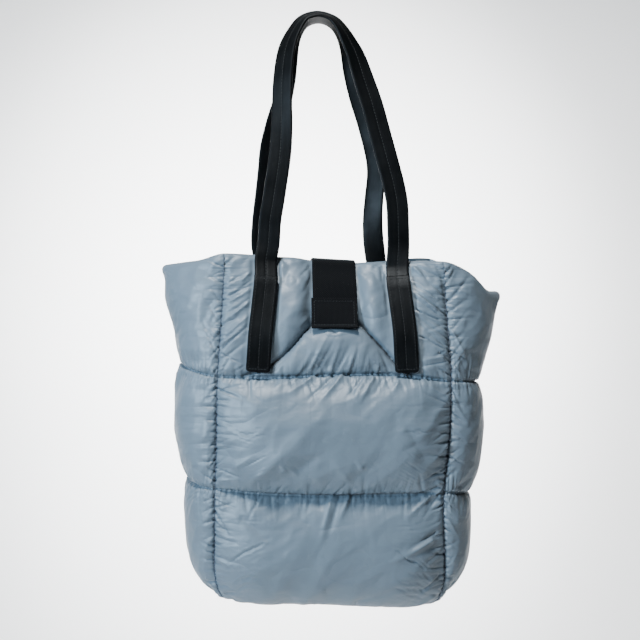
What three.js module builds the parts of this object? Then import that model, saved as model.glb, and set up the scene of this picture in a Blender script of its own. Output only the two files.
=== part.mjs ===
// A padded tote bag that hangs by its two leather shoulder straps. Millimetres, +Z up, front towards -Y.
// The origin is the point that it hangs from, under the straps at the top of their arch.
//
// The padded body is worked out on a ring of stations that runs round the bag, seen from above:
// the front panel, the right gusset, the back panel and the left gusset. Each station has a lining
// point, and the quilted face lies outside it by the thickness of the padding there.
import * as THREE from "three";

// Driving sizes
const HANDLE_DROP = 266; // from the hang point down to the mouth
const BODY_HEIGHT = 350; // from the mouth down to the underside
const PANEL_WIDTH = 235; // front panel, between its upright seams
const BODY_DEPTH = 118; // front seam to back seam
const GUSSET_REACH = 56; // how far the gusset folds out beyond the seams at the mouth
const BODY_LEAN = 14.5; // how far the hanging body lies to the right of the hang point

// Padding
const SEAM_WALL = 5; // padding pinched under a stitched line
const RIM_WALL = 13; // padding at the mouth
const RIM_ROLL = 7; // height over which the mouth's edge is rolled
const RIM_EDGE = 2.5; // thickness of the very edge
const TIP_PINCH = 0.3; // share of the padding left at the gussets' folded tips, at the mouth
const TIP_SHARE = 0.45; // share of the upper channel over which that pinch dies out
const FRONT_PUFF = 21; // what a channel of the front or back adds at its middle
const GUSSET_PUFF = 11; // what a channel of a gusset adds at its fold
const SIDE_ROUND = 34; // distance over which the padding rises from an upright seam
const SLANT_ROUND = 20; // the same from the slanting seams under the closure
const GATHER_PITCH = 23; // spacing of the gathers along the upright seams
const GATHER_RISE = 1.6;
const GATHER_FADE = 12; // distance over which the gathers die out
const GUSSET_NOTCH = 0.65; // how widely the quilting lines draw the gussets in: 0.5 is a round puff
const PRESS = 0.42; // share of the padding that a strap sewn through it presses away

// Base
const BASE_SAG = 8; // how far the pad's underside hangs below the body's height
const BASE_PAD = 15; // thickness of the base pad
const BASE_ROUND_HEIGHT = 42; // the walls turn under over this height
const BASE_ROUND_INSET = 27; // and by this much, measured at the front seams
const BASE_TURN = 80; // degrees that they turn through
const BASE_FLAT = 0.72; // share of the pad that is flat underneath

// Straps and closure. The feet are places along a panel, as shares of its half width.
const STRAP_WIDTH = 22;
const STRAP_THICKNESS = 3.2;
const STRAP_PATCH_WIDTH = 24;
const STRAP_PATCH_THICKNESS = 1.6;
const STRAP_PATCH_TOP = 21; // below the mouth
const STRAP_PATCH_LENGTH = 94;
const STRAP_END_MARGIN = 5; // the strap's end lies this far inside its patch
const STRAP_FEET = { front: { left: -0.66, right: 0.61 }, back: { left: -0.67, right: 0.5 } };
const WEBBING_WIDTH = 45;
const WEBBING_THICKNESS = 1.8;
const WEBBING_LENGTH = 69; // down the front, below the mouth
const CLOSURE_PATCH_WIDTH = 47;
const CLOSURE_PATCH_THICKNESS = 2.2;
const CLOSURE_PATCH_TOP = 43; // below the mouth
const CLOSURE_PATCH_LENGTH = 31;

const GAP = 0.4; // clearance between sewn pieces
const PATCH_GAP = 0.7; // clearance of a patch over the strap or webbing that it holds
const RIM_CLEARANCE = 1.7; // the webbing's clearance where it bends over the mouth
const STRAP_LIFT = 0.7; // clearance of a strap over the panel that it is sewn to
const STRAP_START = 6; // a strap lies on the panel from this far below the panel's edge
const WEBBING_LIFT = 0.8; // clearance of the closure's webbing over the panels
const RIM_LEAN = 20; // degrees that the webbing leans outwards over the panel's edge
const EDGE_START = 0.3; // the webbing follows the panel from this far below its edge

const MOUTH_Z = -HANDLE_DROP;
const BASE_Z = MOUTH_Z - BODY_HEIGHT - BASE_SAG;
const HALF_WIDTH = PANEL_WIDTH / 2;

// Plan sections of the lining. level: share of the height, from the mouth. half, depth, swell,
// left, right and lean: shares of half the panel's width, the body's depth, the depth, the
// gusset's reach on either side and the lean. swell bows the panel's middle outwards. crease: 0 a
// rounded gusset, 1 a sharp fold.
const SECTIONS = [
  { level: 0, half: 0.955, depth: 0.66, swell: -0.22, left: 1.16, right: 1.17, lean: 1, crease: 0.75 },
  { level: 0.08, half: 0.962, depth: 0.72, swell: -0.19, left: 1.02, right: 1.18, lean: 1, crease: 0.6 },
  { level: 0.18, half: 0.975, depth: 0.81, swell: -0.11, left: 0.71, right: 0.83, lean: 1, crease: 0.4 },
  { level: 0.27, half: 0.985, depth: 0.9, swell: -0.03, left: 0.68, right: 0.63, lean: 0.98, crease: 0.25 },
  { level: 0.36, half: 0.998, depth: 0.96, swell: 0.02, left: 0.63, right: 0.56, lean: 0.97, crease: 0.15 },
  { level: 0.5, half: 0.99, depth: 1, swell: 0.05, left: 0.55, right: 0.54, lean: 0.87, crease: 0.1 },
  { level: 0.68, half: 0.97, depth: 1, swell: 0.05, left: 0.43, right: 0.53, lean: 0.62, crease: 0.1 },
  { level: 0.84, half: 0.975, depth: 0.98, swell: 0.05, left: 0.3, right: 0.38, lean: 0.62, crease: 0.1 },
  { level: 1, half: 1, depth: 0.95, swell: 0.04, left: 0.13, right: 0.28, lean: 0.62, crease: 0.1 },
];

// Heights of the lines that run round the bag, as shares of its height below the mouth. at: -2 is
// the left gusset's fold, -1 and 1 the upright seams, 0 the middle and 2 the right gusset's fold.
// mouth and backMouth: the front's and the back's upper edges.
const LINES = [
  { at: -2, mouth: 0.014, backMouth: 0.014, upper: 0.306, lower: 0.646, base: 0.956 },
  { at: -1.6, mouth: 0.01, backMouth: 0.01, upper: 0.322, lower: 0.652, base: 0.962 },
  { at: -1.3, mouth: 0.005, backMouth: 0.005, upper: 0.334, lower: 0.657, base: 0.964 },
  { at: -1, mouth: -0.012, backMouth: -0.012, upper: 0.343, lower: 0.662, base: 0.962 },
  { at: -0.5, mouth: -0.004, backMouth: -0.004, upper: 0.348, lower: 0.682, base: 0.964 },
  { at: 0, mouth: 0.012, backMouth: 0.012, upper: 0.342, lower: 0.69, base: 0.97 },
  { at: 0.5, mouth: 0.012, backMouth: 0, upper: 0.342, lower: 0.686, base: 0.982 },
  { at: 1, mouth: 0.01, backMouth: -0.014, upper: 0.358, lower: 0.68, base: 0.994 },
  { at: 1.3, mouth: 0.036, backMouth: 0.03, upper: 0.36, lower: 0.684, base: 0.978 },
  { at: 1.6, mouth: 0.082, backMouth: 0.082, upper: 0.363, lower: 0.69, base: 0.97 },
  { at: 2, mouth: 0.1, backMouth: 0.1, upper: 0.366, lower: 0.696, base: 0.964 },
];

// The slanting seams that run from the closure's lower corners to the upper quilting line.
const SLANTS = [
  { left: -0.215, right: 0.2, level: 0.21 },
  { left: -0.566, right: 0.45, level: 0.3 },
  { left: -0.775, right: 0.64, level: 0.345 },
];

// The main folds of the cloth. from and to: station round the bag, with the height as a share
// below the mouth. rise: height of the ridge in shares of the front's puff, or a dent if negative.
// wide: half its width, in shares of the side rounding.
const FOLDS = [
  { from: [-0.96, 0.1], to: [-0.76, 0.05], rise: 0.17, wide: 0.16 },
  { from: [-0.96, 0.17], to: [-0.74, 0.1], rise: 0.17, wide: 0.16 },
  { from: [-0.96, 0.25], to: [-0.76, 0.18], rise: 0.17, wide: 0.16 },
  { from: [-0.5, 0.26], to: [-0.26, 0.08], rise: -0.16, wide: 0.3 },
  { from: [-0.2, 0.3], to: [-0.06, 0.24], rise: 0.14, wide: 0.18 },
  { from: [0.02, 0.33], to: [0.16, 0.24], rise: 0.16, wide: 0.18 },
  { from: [0.27, 0.02], to: [0.4, 0.16], rise: -0.14, wide: 0.28 },
  { from: [0.95, 0.08], to: [0.72, 0.04], rise: 0.15, wide: 0.16 },
  { from: [0.95, 0.17], to: [0.7, 0.14], rise: 0.18, wide: 0.16 },
  { from: [0.95, 0.26], to: [0.74, 0.22], rise: 0.15, wide: 0.16 },
  { from: [-0.02, 0.36], to: [-0.22, 0.44], rise: 0.16, wide: 0.2 },
  { from: [0.22, 0.36], to: [0.06, 0.43], rise: 0.14, wide: 0.2 },
  { from: [-0.36, 0.37], to: [-0.56, 0.45], rise: 0.13, wide: 0.22 },
  { from: [-0.44, 0.64], to: [0.1, 0.6], rise: -0.2, wide: 0.42 },
  { from: [0.93, 0.68], to: [0.6, 0.76], rise: 0.16, wide: 0.2 },
  { from: [0.93, 0.83], to: [0.55, 0.88], rise: -0.18, wide: 0.2 },
  { from: [0.08, 0.72], to: [-0.12, 0.8], rise: 0.16, wide: 0.24 },
  { from: [-0.92, 0.68], to: [-0.6, 0.75], rise: -0.12, wide: 0.22 },
  { from: [1.06, 0.14], to: [1.4, 0.12], rise: 0.14, wide: 0.2 },
  { from: [1.06, 0.25], to: [1.4, 0.24], rise: 0.14, wide: 0.2 },
  { from: [6.94, 0.29], to: [6.5, 0.26], rise: -0.14, wide: 0.22 },
  { from: [6.94, 0.62], to: [6.5, 0.6], rise: -0.14, wide: 0.22 },
  { from: [3.1, 0.12], to: [3.4, 0.06], rise: 0.16, wide: 0.2 },
  { from: [4.9, 0.16], to: [4.62, 0.1], rise: 0.16, wide: 0.2 },
  { from: [3.5, 0.38], to: [3.8, 0.5], rise: 0.14, wide: 0.26 },
  { from: [4.5, 0.62], to: [4.1, 0.56], rise: -0.16, wide: 0.36 },
  { from: [3.1, 0.72], to: [3.5, 0.8], rise: 0.16, wide: 0.24 },
];

// Places of the straps above the mouth, from their left foot to their right foot. x: right of the
// hang point, in shares of half the panel's width. y and z: in shares of the handle's drop. turn:
// degrees that the strap's width is turned from lying across the view.
const FRONT_STRAP_ROUTE = [
  { x: -0.449, y: -0.135, z: -0.93, turn: 2 },
  { x: -0.437, y: -0.13, z: -0.849, turn: 2 },
  { x: -0.409, y: -0.124, z: -0.774, turn: 2 },
  { x: -0.375, y: -0.117, z: -0.676, turn: 3 },
  { x: -0.343, y: -0.109, z: -0.578, turn: 6 },
  { x: -0.329, y: -0.102, z: -0.479, turn: 16 },
  { x: -0.324, y: -0.094, z: -0.399, turn: 26 },
  { x: -0.318, y: -0.085, z: -0.299, turn: 32 },
  { x: -0.299, y: -0.073, z: -0.21, turn: 37 },
  { x: -0.272, y: -0.064, z: -0.152, turn: 42 },
  { x: -0.229, y: -0.055, z: -0.106, turn: 47 },
  { x: -0.164, y: -0.048, z: -0.066, turn: 52 },
  { x: -0.091, y: -0.044, z: -0.045, turn: 55 },
  { x: -0.011, y: -0.043, z: -0.037, turn: 56 },
  { x: 0.07, y: -0.044, z: -0.045, turn: 54 },
  { x: 0.137, y: -0.048, z: -0.064, turn: 50 },
  { x: 0.203, y: -0.055, z: -0.102, turn: 43 },
  { x: 0.255, y: -0.062, z: -0.145, turn: 36 },
  { x: 0.307, y: -0.071, z: -0.199, turn: 28 },
  { x: 0.364, y: -0.085, z: -0.291, turn: 17 },
  { x: 0.435, y: -0.094, z: -0.395, turn: 8 },
  { x: 0.511, y: -0.103, z: -0.515, turn: 3 },
  { x: 0.577, y: -0.111, z: -0.609, turn: 1 },
  { x: 0.635, y: -0.118, z: -0.692, turn: 1 },
  { x: 0.672, y: -0.124, z: -0.767, turn: 1 },
  { x: 0.685, y: -0.13, z: -0.849, turn: 1 },
  { x: 0.687, y: -0.135, z: -0.93, turn: 1 },
];
const BACK_STRAP_ROUTE = [
  { x: -0.5, y: 0.137, z: -0.939, turn: 4 },
  { x: -0.49, y: 0.132, z: -0.844, turn: 8 },
  { x: -0.471, y: 0.124, z: -0.741, turn: 12 },
  { x: -0.452, y: 0.117, z: -0.639, turn: 16 },
  { x: -0.429, y: 0.109, z: -0.537, turn: 20 },
  { x: -0.377, y: 0.102, z: -0.435, turn: 25 },
  { x: -0.326, y: 0.094, z: -0.354, turn: 30 },
  { x: -0.275, y: 0.085, z: -0.254, turn: 35 },
  { x: -0.248, y: 0.073, z: -0.159, turn: 40 },
  { x: -0.221, y: 0.063, z: -0.105, turn: 44 },
  { x: -0.17, y: 0.053, z: -0.061, turn: 50 },
  { x: -0.097, y: 0.047, z: -0.028, turn: 54 },
  { x: 0.013, y: 0.045, z: -0.015, turn: 56 },
  { x: 0.124, y: 0.047, z: -0.028, turn: 53 },
  { x: 0.208, y: 0.053, z: -0.063, turn: 48 },
  { x: 0.274, y: 0.064, z: -0.121, turn: 42 },
  { x: 0.34, y: 0.079, z: -0.219, turn: 34 },
  { x: 0.406, y: 0.092, z: -0.322, turn: 28 },
  { x: 0.48, y: 0.102, z: -0.419, turn: 26 },
  { x: 0.536, y: 0.109, z: -0.512, turn: 28 },
  { x: 0.571, y: 0.117, z: -0.589, turn: 32 },
  { x: 0.578, y: 0.12, z: -0.659, turn: 34 },
  { x: 0.562, y: 0.126, z: -0.741, turn: 33 },
  { x: 0.549, y: 0.132, z: -0.844, turn: 26 },
  { x: 0.56, y: 0.137, z: -0.939, turn: 12 },
];

const mix = (a, b, t) => a + (b - a) * t;
const clamp01 = (t) => Math.min(1, Math.max(0, t));
const smooth = (t) => clamp01(t) ** 2 * (3 - 2 * clamp01(t));
const radians = (degrees) => (degrees * Math.PI) / 180;

const STRAP_BAND = 0.125; // half the pressed band under a strap, as a share of half the width
const CLOSURE_BAND = 0.215;
const NARROWED = 0.62; // stations crowd towards the upright seams by this

// Stations across the front or back, between its upright seams, with the straps' edges among them.
function panelStations({ left, right }) {
  const stations = [-1];
  const between = (from, to, ...shares) => {
    shares.forEach((share) => stations.push(mix(from, to, share)));
    stations.push(to);
  };
  between(-1, left - STRAP_BAND, 1 - NARROWED, NARROWED);
  between(left - STRAP_BAND, left + STRAP_BAND, 1 / 2);
  between(left + STRAP_BAND, -CLOSURE_BAND, 1 / 3, 2 / 3);
  between(-CLOSURE_BAND, CLOSURE_BAND, 1 / 2);
  between(CLOSURE_BAND, right - STRAP_BAND, 1 / 3, 2 / 3);
  between(right - STRAP_BAND, right + STRAP_BAND, 1 / 2);
  between(right + STRAP_BAND, 1, 1 - NARROWED, NARROWED);
  return stations;
}
// Stations across a gusset: 0 and 2 are its seams and 1 its fold.
const GUSSET_STATIONS = [0, 0.14, 0.38, 0.7, 1, 1.3, 1.62, 1.86, 2];
const ROWS_PER_CHANNEL = 17;
const ROW_CROWDING = 0.5; // 0: evenly spaced rows, 1: fully crowded towards the quilting lines
const LINING_STEP = 4; // the lining keeps every fourth row and second station
const CHANNELS = ["mouth", "upper", "lower", "base"];

// A smooth value from a table whose rows are ordered by the column named key.
function fromTable(table, key, at, column) {
  const last = table.length - 1;
  let i = table.findIndex((row) => row[key] > at) - 1;
  if (at <= table[0][key]) i = 0;
  if (i < 0) i = last - 1;
  const t = clamp01((at - table[i][key]) / (table[i + 1][key] - table[i][key]));
  const value = (k) => table[Math.min(last, Math.max(0, k))][column];
  const place = (k) => table[Math.min(last, Math.max(0, k))][key];
  const slope = (k) => {
    const run = place(k + 1) - place(k - 1);
    return run > 0 ? (value(k + 1) - value(k - 1)) / run : 0;
  };
  const run = place(i + 1) - place(i);
  const t2 = t * t;
  const t3 = t2 * t;
  return (
    (2 * t3 - 3 * t2 + 1) * value(i) +
    (t3 - 2 * t2 + t) * run * slope(i) +
    (3 * t2 - 2 * t3) * value(i + 1) +
    (t3 - t2) * run * slope(i + 1)
  );
}

// A station s runs round the bag: -1 to 1 the front, 1 to 3 the right gusset, 3 to 5 the back and
// 5 to 7 the left gusset. face is -1 on the front half and 1 on the back half.
function stationOf(s) {
  if (s <= 1) return { panel: "front", across: s, out: 0, face: -1, at: s };
  if (s <= 3) {
    const out = 1 - Math.abs(s - 2);
    return { panel: "right", across: 1, out, face: s < 2 ? -1 : 1, at: 1 + out };
  }
  if (s <= 5) return { panel: "back", across: 4 - s, out: 0, face: 1, at: 4 - s };
  const out = 1 - Math.abs(s - 6);
  return { panel: "left", across: -1, out, face: s < 6 ? 1 : -1, at: -1 - out };
}

function lineZ(s, line) {
  const { at, face } = stationOf(s);
  const column = line === "mouth" && face > 0 ? "backMouth" : line;
  return MOUTH_Z - BODY_HEIGHT * fromTable(LINES, "at", at, column);
}

const levelOf = (z) => (MOUTH_Z - z) / BODY_HEIGHT;

// Where the walls turn under, v runs on into an arc. v: 0 the mouth, 1 and 2 the quilting lines, 3
// the base seam. Gives the height and how far the section is drawn in.
function rowPlace(s, v) {
  const channel = Math.min(2, Math.max(0, Math.floor(v)));
  const share = v - channel;
  const top = lineZ(s, CHANNELS[channel]);
  const bottom = lineZ(s, CHANNELS[channel + 1]);
  if (channel < 2) return { z: mix(top, bottom, share), inset: 0 };
  const turn = radians(BASE_TURN);
  const arcTop = bottom + BASE_ROUND_HEIGHT * Math.sin(turn);
  const straight = 1 - (BASE_ROUND_HEIGHT * turn) / (top - arcTop + BASE_ROUND_HEIGHT * turn);
  if (share <= straight) return { z: mix(top, arcTop, share / straight), inset: 0 };
  const angle = (turn * (share - straight)) / (1 - straight);
  return {
    z: arcTop - BASE_ROUND_HEIGHT * Math.sin(angle),
    inset: BASE_ROUND_INSET * (1 - Math.cos(angle)),
  };
}

// The lining's point at station s and row v.
function liningPoint(s, v) {
  const { across, out, face } = stationOf(s);
  const { z, inset } = rowPlace(s, v);
  const section = (column) => fromTable(SECTIONS, "level", levelOf(z), column);
  const half = HALF_WIDTH * section("half");
  const halfDepth = (BODY_DEPTH * section("depth")) / 2;
  const swell = BODY_DEPTH * section("swell");
  const centre = BODY_LEAN * section("lean");
  let x = half * across;
  let y = halfDepth + swell * (1 - across * across);
  if (out > 0) {
    const angle = (out * Math.PI) / 2;
    const crease = section("crease");
    const reach = GUSSET_REACH * section(across < 0 ? "left" : "right");
    x += across * reach * mix(Math.sin(angle), out, crease);
    y = halfDepth * mix(Math.cos(angle), 1 - out, crease);
  }
  const shrinkX = 1 - inset / HALF_WIDTH;
  const shrinkY = 1 - inset / (BODY_DEPTH / 2);
  return new THREE.Vector3(centre + x * shrinkX, face * y * shrinkY, z);
}

const wrapped = (s) => (s < -1 ? s + 8 : s >= 7 ? s - 8 : s);

// The lining's outward direction at station s and row v.
function outward(s, v) {
  const step = 0.04;
  const along = liningPoint(wrapped(s + step), v).sub(liningPoint(wrapped(s - step), v));
  const up = liningPoint(s, Math.max(0, v - step)).sub(liningPoint(s, Math.min(3, v + step)));
  return along.cross(up).normalize();
}

// Distance in millimetres between a place (station, level) and a segment, with the share along it.
function toSegment(place, from, to) {
  const px = (place[0] - from[0]) * HALF_WIDTH;
  const pz = (place[1] - from[1]) * BODY_HEIGHT;
  const dx = (to[0] - from[0]) * HALF_WIDTH;
  const dz = (to[1] - from[1]) * BODY_HEIGHT;
  const along = clamp01((px * dx + pz * dz) / (dx * dx + dz * dz));
  return { distance: Math.hypot(px - along * dx, pz - along * dz), along };
}

function slantDistance(across, level) {
  const side = across < 0 ? "left" : "right";
  return Math.min(
    ...SLANTS.slice(1).map((row, i) => {
      const from = [SLANTS[i][side], SLANTS[i].level];
      return toSegment([across, level], from, [row[side], row.level]).distance;
    }),
  );
}

// A quarter round rise from 0 at a seam to 1 at the given distance from it.
const rounded = (distance, reach) => Math.sqrt(1 - (1 - clamp01(distance / reach)) ** 2);
// 1 inside a band, falling to 0 over the given fade outside it.
const band = (offset, half, fade) => 1 - smooth((Math.abs(offset) - half) / fade);

// The folds' height above the plain padding.
function foldRise(s, level) {
  return FOLDS.reduce((sum, fold) => {
    const { distance, along } = toSegment([s, level], fold.from, fold.to);
    const spread = fold.wide * SIDE_ROUND;
    const taper = 0.35 + 0.65 * Math.sin(Math.PI * mix(0.15, 0.85, along));
    return sum + fold.rise * FRONT_PUFF * taper * Math.exp(-((distance / spread) ** 2));
  }, 0);
}

// The padding's thickness at station s and row v.
function padding(s, v) {
  const { panel, across, out, face } = stationOf(s);
  const { z } = rowPlace(s, v);
  const level = levelOf(z);
  const channel = Math.min(2, Math.floor(v));
  const share = v - channel;
  const onPanel = panel === "front" || panel === "back";
  const fromSeam = onPanel
    ? (1 - Math.abs(across)) * HALF_WIDTH
    : out * Math.hypot(GUSSET_REACH, BODY_DEPTH) * 0.55;
  const side = rounded(fromSeam, SIDE_ROUND);
  let puff = onPanel ? FRONT_PUFF : GUSSET_PUFF;
  let profile = (4 * share * (1 - share)) ** (onPanel ? 0.5 : GUSSET_NOTCH);
  if (channel === 0) {
    profile = Math.sqrt(Math.max(0, 1 - share ** 3.2)) * mix(0.62, 1, smooth(share / 0.45));
  }
  if (channel === 2) {
    const lower = mix(share, share ** 1.25, 0.5);
    profile = Math.max(0, 4 * lower * (1 - share)) ** (onPanel ? 0.5 : GUSSET_NOTCH);
  }
  profile = Math.min(1, profile);
  if (onPanel && channel === 0) {
    const feet = STRAP_FEET[panel];
    const strapLeft = band(across - feet.left, STRAP_BAND, STRAP_BAND);
    const strapRight = band(across - feet.right, STRAP_BAND, STRAP_BAND);
    const underPatch = level < levelOf(MOUTH_Z - CLOSURE_PATCH_TOP - CLOSURE_PATCH_LENGTH - 4);
    const closure = underPatch ? band(across, CLOSURE_BAND, CLOSURE_BAND * 0.6) : 0;
    puff *= 1 - PRESS * Math.max(strapLeft, strapRight, closure);
  }
  if (face < 0 && onPanel && channel === 0) {
    puff *= mix(0.3, 1, rounded(slantDistance(across, level), SLANT_ROUND));
  }
  if (!onPanel && channel === 0) puff *= mix(1, mix(TIP_PINCH, 1, smooth(share / TIP_SHARE)), out);
  let thickness = SEAM_WALL + puff * profile * side;
  const rimWall = RIM_WALL * (1 - share) * mix(0.5, 1, side) * mix(1, TIP_PINCH, out);
  if (channel === 0) thickness = Math.max(thickness, rimWall);
  const seamSide = Math.exp(-fromSeam / GATHER_FADE) * side * 2;
  const depthBelow = BODY_HEIGHT * level;
  thickness += GATHER_RISE * seamSide * Math.sin((2 * Math.PI * depthBelow) / GATHER_PITCH);
  const sewnFlat = onPanel && channel === 0 && puff < FRONT_PUFF * 0.6;
  if (!sewnFlat) thickness += foldRise(s, level) * Math.sqrt(profile) * side;
  const belowRim = Math.abs(z - lineZ(s, "mouth"));
  const roll = rounded(belowRim, RIM_ROLL);
  return mix(RIM_EDGE, Math.max(SEAM_WALL * 0.8, thickness), roll);
}

const facePoint = (s, v) => liningPoint(s, v).addScaledVector(outward(s, v), padding(s, v));

// Rows from the mouth to the base seam, crowded towards the quilting lines.
const ROWS = [0];
for (let channel = 0; channel < 3; channel += 1) {
  for (let i = 1; i <= ROWS_PER_CHANNEL; i += 1) {
    const even = i / ROWS_PER_CHANNEL;
    const crowded = (1 - Math.cos(Math.PI * even)) / 2;
    ROWS.push(channel + mix(even, crowded, ROW_CROWDING));
  }
}

// Gathers points and triangles into one closed body, with its faces turned outwards.
class Body {
  constructor() {
    this.points = [];
    this.triangles = [];
  }
  add(point) {
    this.points.push(point);
    return this.points.length - 1;
  }
  grid(rows) {
    const ids = rows.map((row) => row.map((point) => this.add(point)));
    return ids;
  }
  skin(ids, flipped = false) {
    for (let r = 0; r + 1 < ids.length; r += 1) {
      for (let c = 0; c + 1 < ids[r].length; c += 1) {
        const [a, b, d, e] = [ids[r][c], ids[r][c + 1], ids[r + 1][c], ids[r + 1][c + 1]];
        this.triangle(a, d, b, flipped);
        this.triangle(b, d, e, flipped);
      }
    }
  }
  triangle(a, b, c, flipped = false) {
    this.triangles.push(flipped ? [a, c, b] : [a, b, c]);
  }
  // Joins a fine edge to a coarse one. coarsePlaces are the fine edge's indices that it follows.
  zip(fine, coarse, coarsePlaces, flipped = false) {
    for (let j = 0; j + 1 < coarse.length; j += 1) {
      const middle = Math.floor((coarsePlaces[j] + coarsePlaces[j + 1]) / 2);
      for (let i = coarsePlaces[j]; i < middle; i += 1) {
        this.triangle(fine[i], coarse[j], fine[i + 1], flipped);
      }
      this.triangle(fine[middle], coarse[j], coarse[j + 1], flipped);
      for (let i = middle; i < coarsePlaces[j + 1]; i += 1) {
        this.triangle(fine[i], coarse[j + 1], fine[i + 1], flipped);
      }
    }
  }
  geometry() {
    const position = new Float32Array(this.triangles.length * 9);
    const volume = this.triangles.reduce((sum, [a, b, c]) => {
      const [p, q, r] = [this.points[a], this.points[b], this.points[c]];
      return sum + p.dot(q.clone().cross(r)) / 6;
    }, 0);
    this.triangles.forEach(([a, b, c], i) => {
      const order = volume < 0 ? [a, c, b] : [a, b, c];
      order.forEach((id, k) => this.points[id].toArray(position, i * 9 + k * 3));
    });
    const made = new THREE.BufferGeometry();
    made.setAttribute("position", new THREE.BufferAttribute(position, 3));
    made.computeVertexNormals();
    return made;
  }
}

const everyNth = (count, step) => {
  const places = [];
  for (let i = 0; i < count - 1; i += step) places.push(i);
  places.push(count - 1);
  return places;
};

// Draws a panel's edges in by half the seam's gap, along the panel.
function drawIn(rows, sides, foot) {
  const half = GAP / 2;
  const pull = (point, towards) => {
    const step = towards.clone().sub(point);
    point.addScaledVector(step, half / step.length());
  };
  rows.forEach((row) => {
    if (!sides) return;
    pull(row[0], row[1]);
    pull(row[row.length - 1], row[row.length - 2]);
  });
  if (foot) rows[rows.length - 1].forEach((p, c) => pull(p, rows[rows.length - 2][c]));
  return rows;
}

// One quilted panel: its face at every station and row, and its plainer lining.
function panelGeometry(stations) {
  const body = new Body();
  const face = drawIn(ROWS.map((v) => stations.map((s) => facePoint(s, v))), true, true);
  const rowPlaces = everyNth(ROWS.length, LINING_STEP);
  const stationPlaces = everyNth(stations.length, 2);
  const inner = drawIn(
    rowPlaces.map((r) => stationPlaces.map((c) => liningPoint(stations[c], ROWS[r]))),
    true,
    true,
  );
  const outerIds = body.grid(face);
  const innerIds = body.grid(inner);
  body.skin(outerIds);
  body.skin(innerIds, true);
  const lastRow = outerIds.length - 1;
  const lastStation = stations.length - 1;
  const column = (ids, c) => ids.map((row) => row[c]);
  const innerEnd = stationPlaces.length - 1;
  body.zip(column(outerIds, 0), column(innerIds, 0), rowPlaces);
  body.zip(column(outerIds, lastStation), column(innerIds, innerEnd), rowPlaces, true);
  body.zip(outerIds[0], innerIds[0], stationPlaces, true);
  body.zip(outerIds[lastRow], innerIds[rowPlaces.length - 1], stationPlaces);
  return body.geometry();
}

const frontStations = panelStations(STRAP_FEET.front);
const rightStations = GUSSET_STATIONS.map((g) => 1 + g);
const backStations = panelStations(STRAP_FEET.back).map((u) => 4 - u).reverse();
const leftStations = GUSSET_STATIONS.map((g) => 5 + g);

// A patch spanned between four edges that meet at its corners.
function spanned(front, back, left, right) {
  const nu = front.length - 1;
  const nv = left.length - 1;
  return left.map((_, j) =>
    front.map((__, i) => {
      const [u, v] = [i / nu, j / nv];
      const point = new THREE.Vector3();
      point.addScaledVector(front[i], 1 - v).addScaledVector(back[i], v);
      point.addScaledVector(left[j], 1 - u).addScaledVector(right[j], u);
      point.addScaledVector(front[0], -(1 - u) * (1 - v)).addScaledVector(front[nu], -u * (1 - v));
      return point.addScaledVector(back[0], -(1 - u) * v).addScaledVector(back[nu], -u * v);
    }),
  );
}

// The base pad fills the ring of the walls' lower edges. Its underside is flat in the middle.
function baseGeometry() {
  const surface = (pointAt, front, right, back, left, floor) => {
    const edge = (stations) => stations.map((s) => pointAt(s, 3));
    const [nearEdge, rightEdge] = [edge(front), edge(right)];
    const [farEdge, leftEdge] = [edge([...back].reverse()), edge([...left].reverse())];
    const rows = spanned(nearEdge, farEdge, leftEdge, rightEdge);
    const [deep, across] = [rows.length - 1, front.length - 1];
    const middle = rows[Math.floor(deep / 2)][Math.floor(across / 2)].clone();
    rows.forEach((row, j) =>
      row.forEach((point, i) => {
        const fromEdge = 1 - Math.max(Math.abs((2 * i) / across - 1), Math.abs((2 * j) / deep - 1));
        point.setZ(mix(point.z, floor, smooth(fromEdge / (1 - BASE_FLAT))));
        const step = middle.clone().sub(point).setZ(0);
        if (fromEdge === 0) point.addScaledVector(step, GAP / step.length());
      }),
    );
    return rows;
  };
  const coarse = (stations) => everyNth(stations.length, 2).map((i) => stations[i]);
  const sides = [frontStations, rightStations, backStations, leftStations];
  const under = surface(facePoint, ...sides, BASE_Z);
  const inside = surface(liningPoint, ...sides.map(coarse), BASE_Z + BASE_PAD);
  const body = new Body();
  const underIds = body.grid(under);
  const insideIds = body.grid(inside);
  body.skin(underIds);
  body.skin(insideIds, true);
  const column = (ids, c) => ids.map((row) => row[c]);
  const [across, deep] = [under[0].length - 1, under.length - 1];
  const [innerAcross, innerDeep] = [inside[0].length - 1, inside.length - 1];
  const deepPlaces = everyNth(under.length, 2);
  const acrossPlaces = everyNth(under[0].length, 2);
  body.zip(column(underIds, 0), column(insideIds, 0), deepPlaces);
  body.zip(column(underIds, across), column(insideIds, innerAcross), deepPlaces, true);
  body.zip(underIds[0], insideIds[0], acrossPlaces, true);
  body.zip(underIds[deep], insideIds[innerDeep], acrossPlaces);
  return body.geometry();
}

// A band swept through frames. Each frame has the middle of its underside, the direction across
// the band and the direction that its outer face looks.
function bandGeometry(frames, width, thickness) {
  const body = new Body();
  const rings = frames.map(({ middle, side, out }) => {
    const corner = (a, b) =>
      middle.clone().addScaledVector(side, (a * width) / 2).addScaledVector(out, b * thickness);
    return [corner(-1, 0), corner(1, 0), corner(1, 1), corner(-1, 1)];
  });
  const ids = body.grid(rings.map((ring) => [...ring, ring[0]]));
  ids.forEach((row) => {
    row[4] = row[0];
  });
  body.skin(ids);
  const [first, last] = [ids[0], ids[ids.length - 1]];
  body.triangle(first[0], first[1], first[2]);
  body.triangle(first[0], first[2], first[3]);
  body.triangle(last[0], last[2], last[1]);
  body.triangle(last[0], last[3], last[2]);
  return body.geometry();
}

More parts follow.
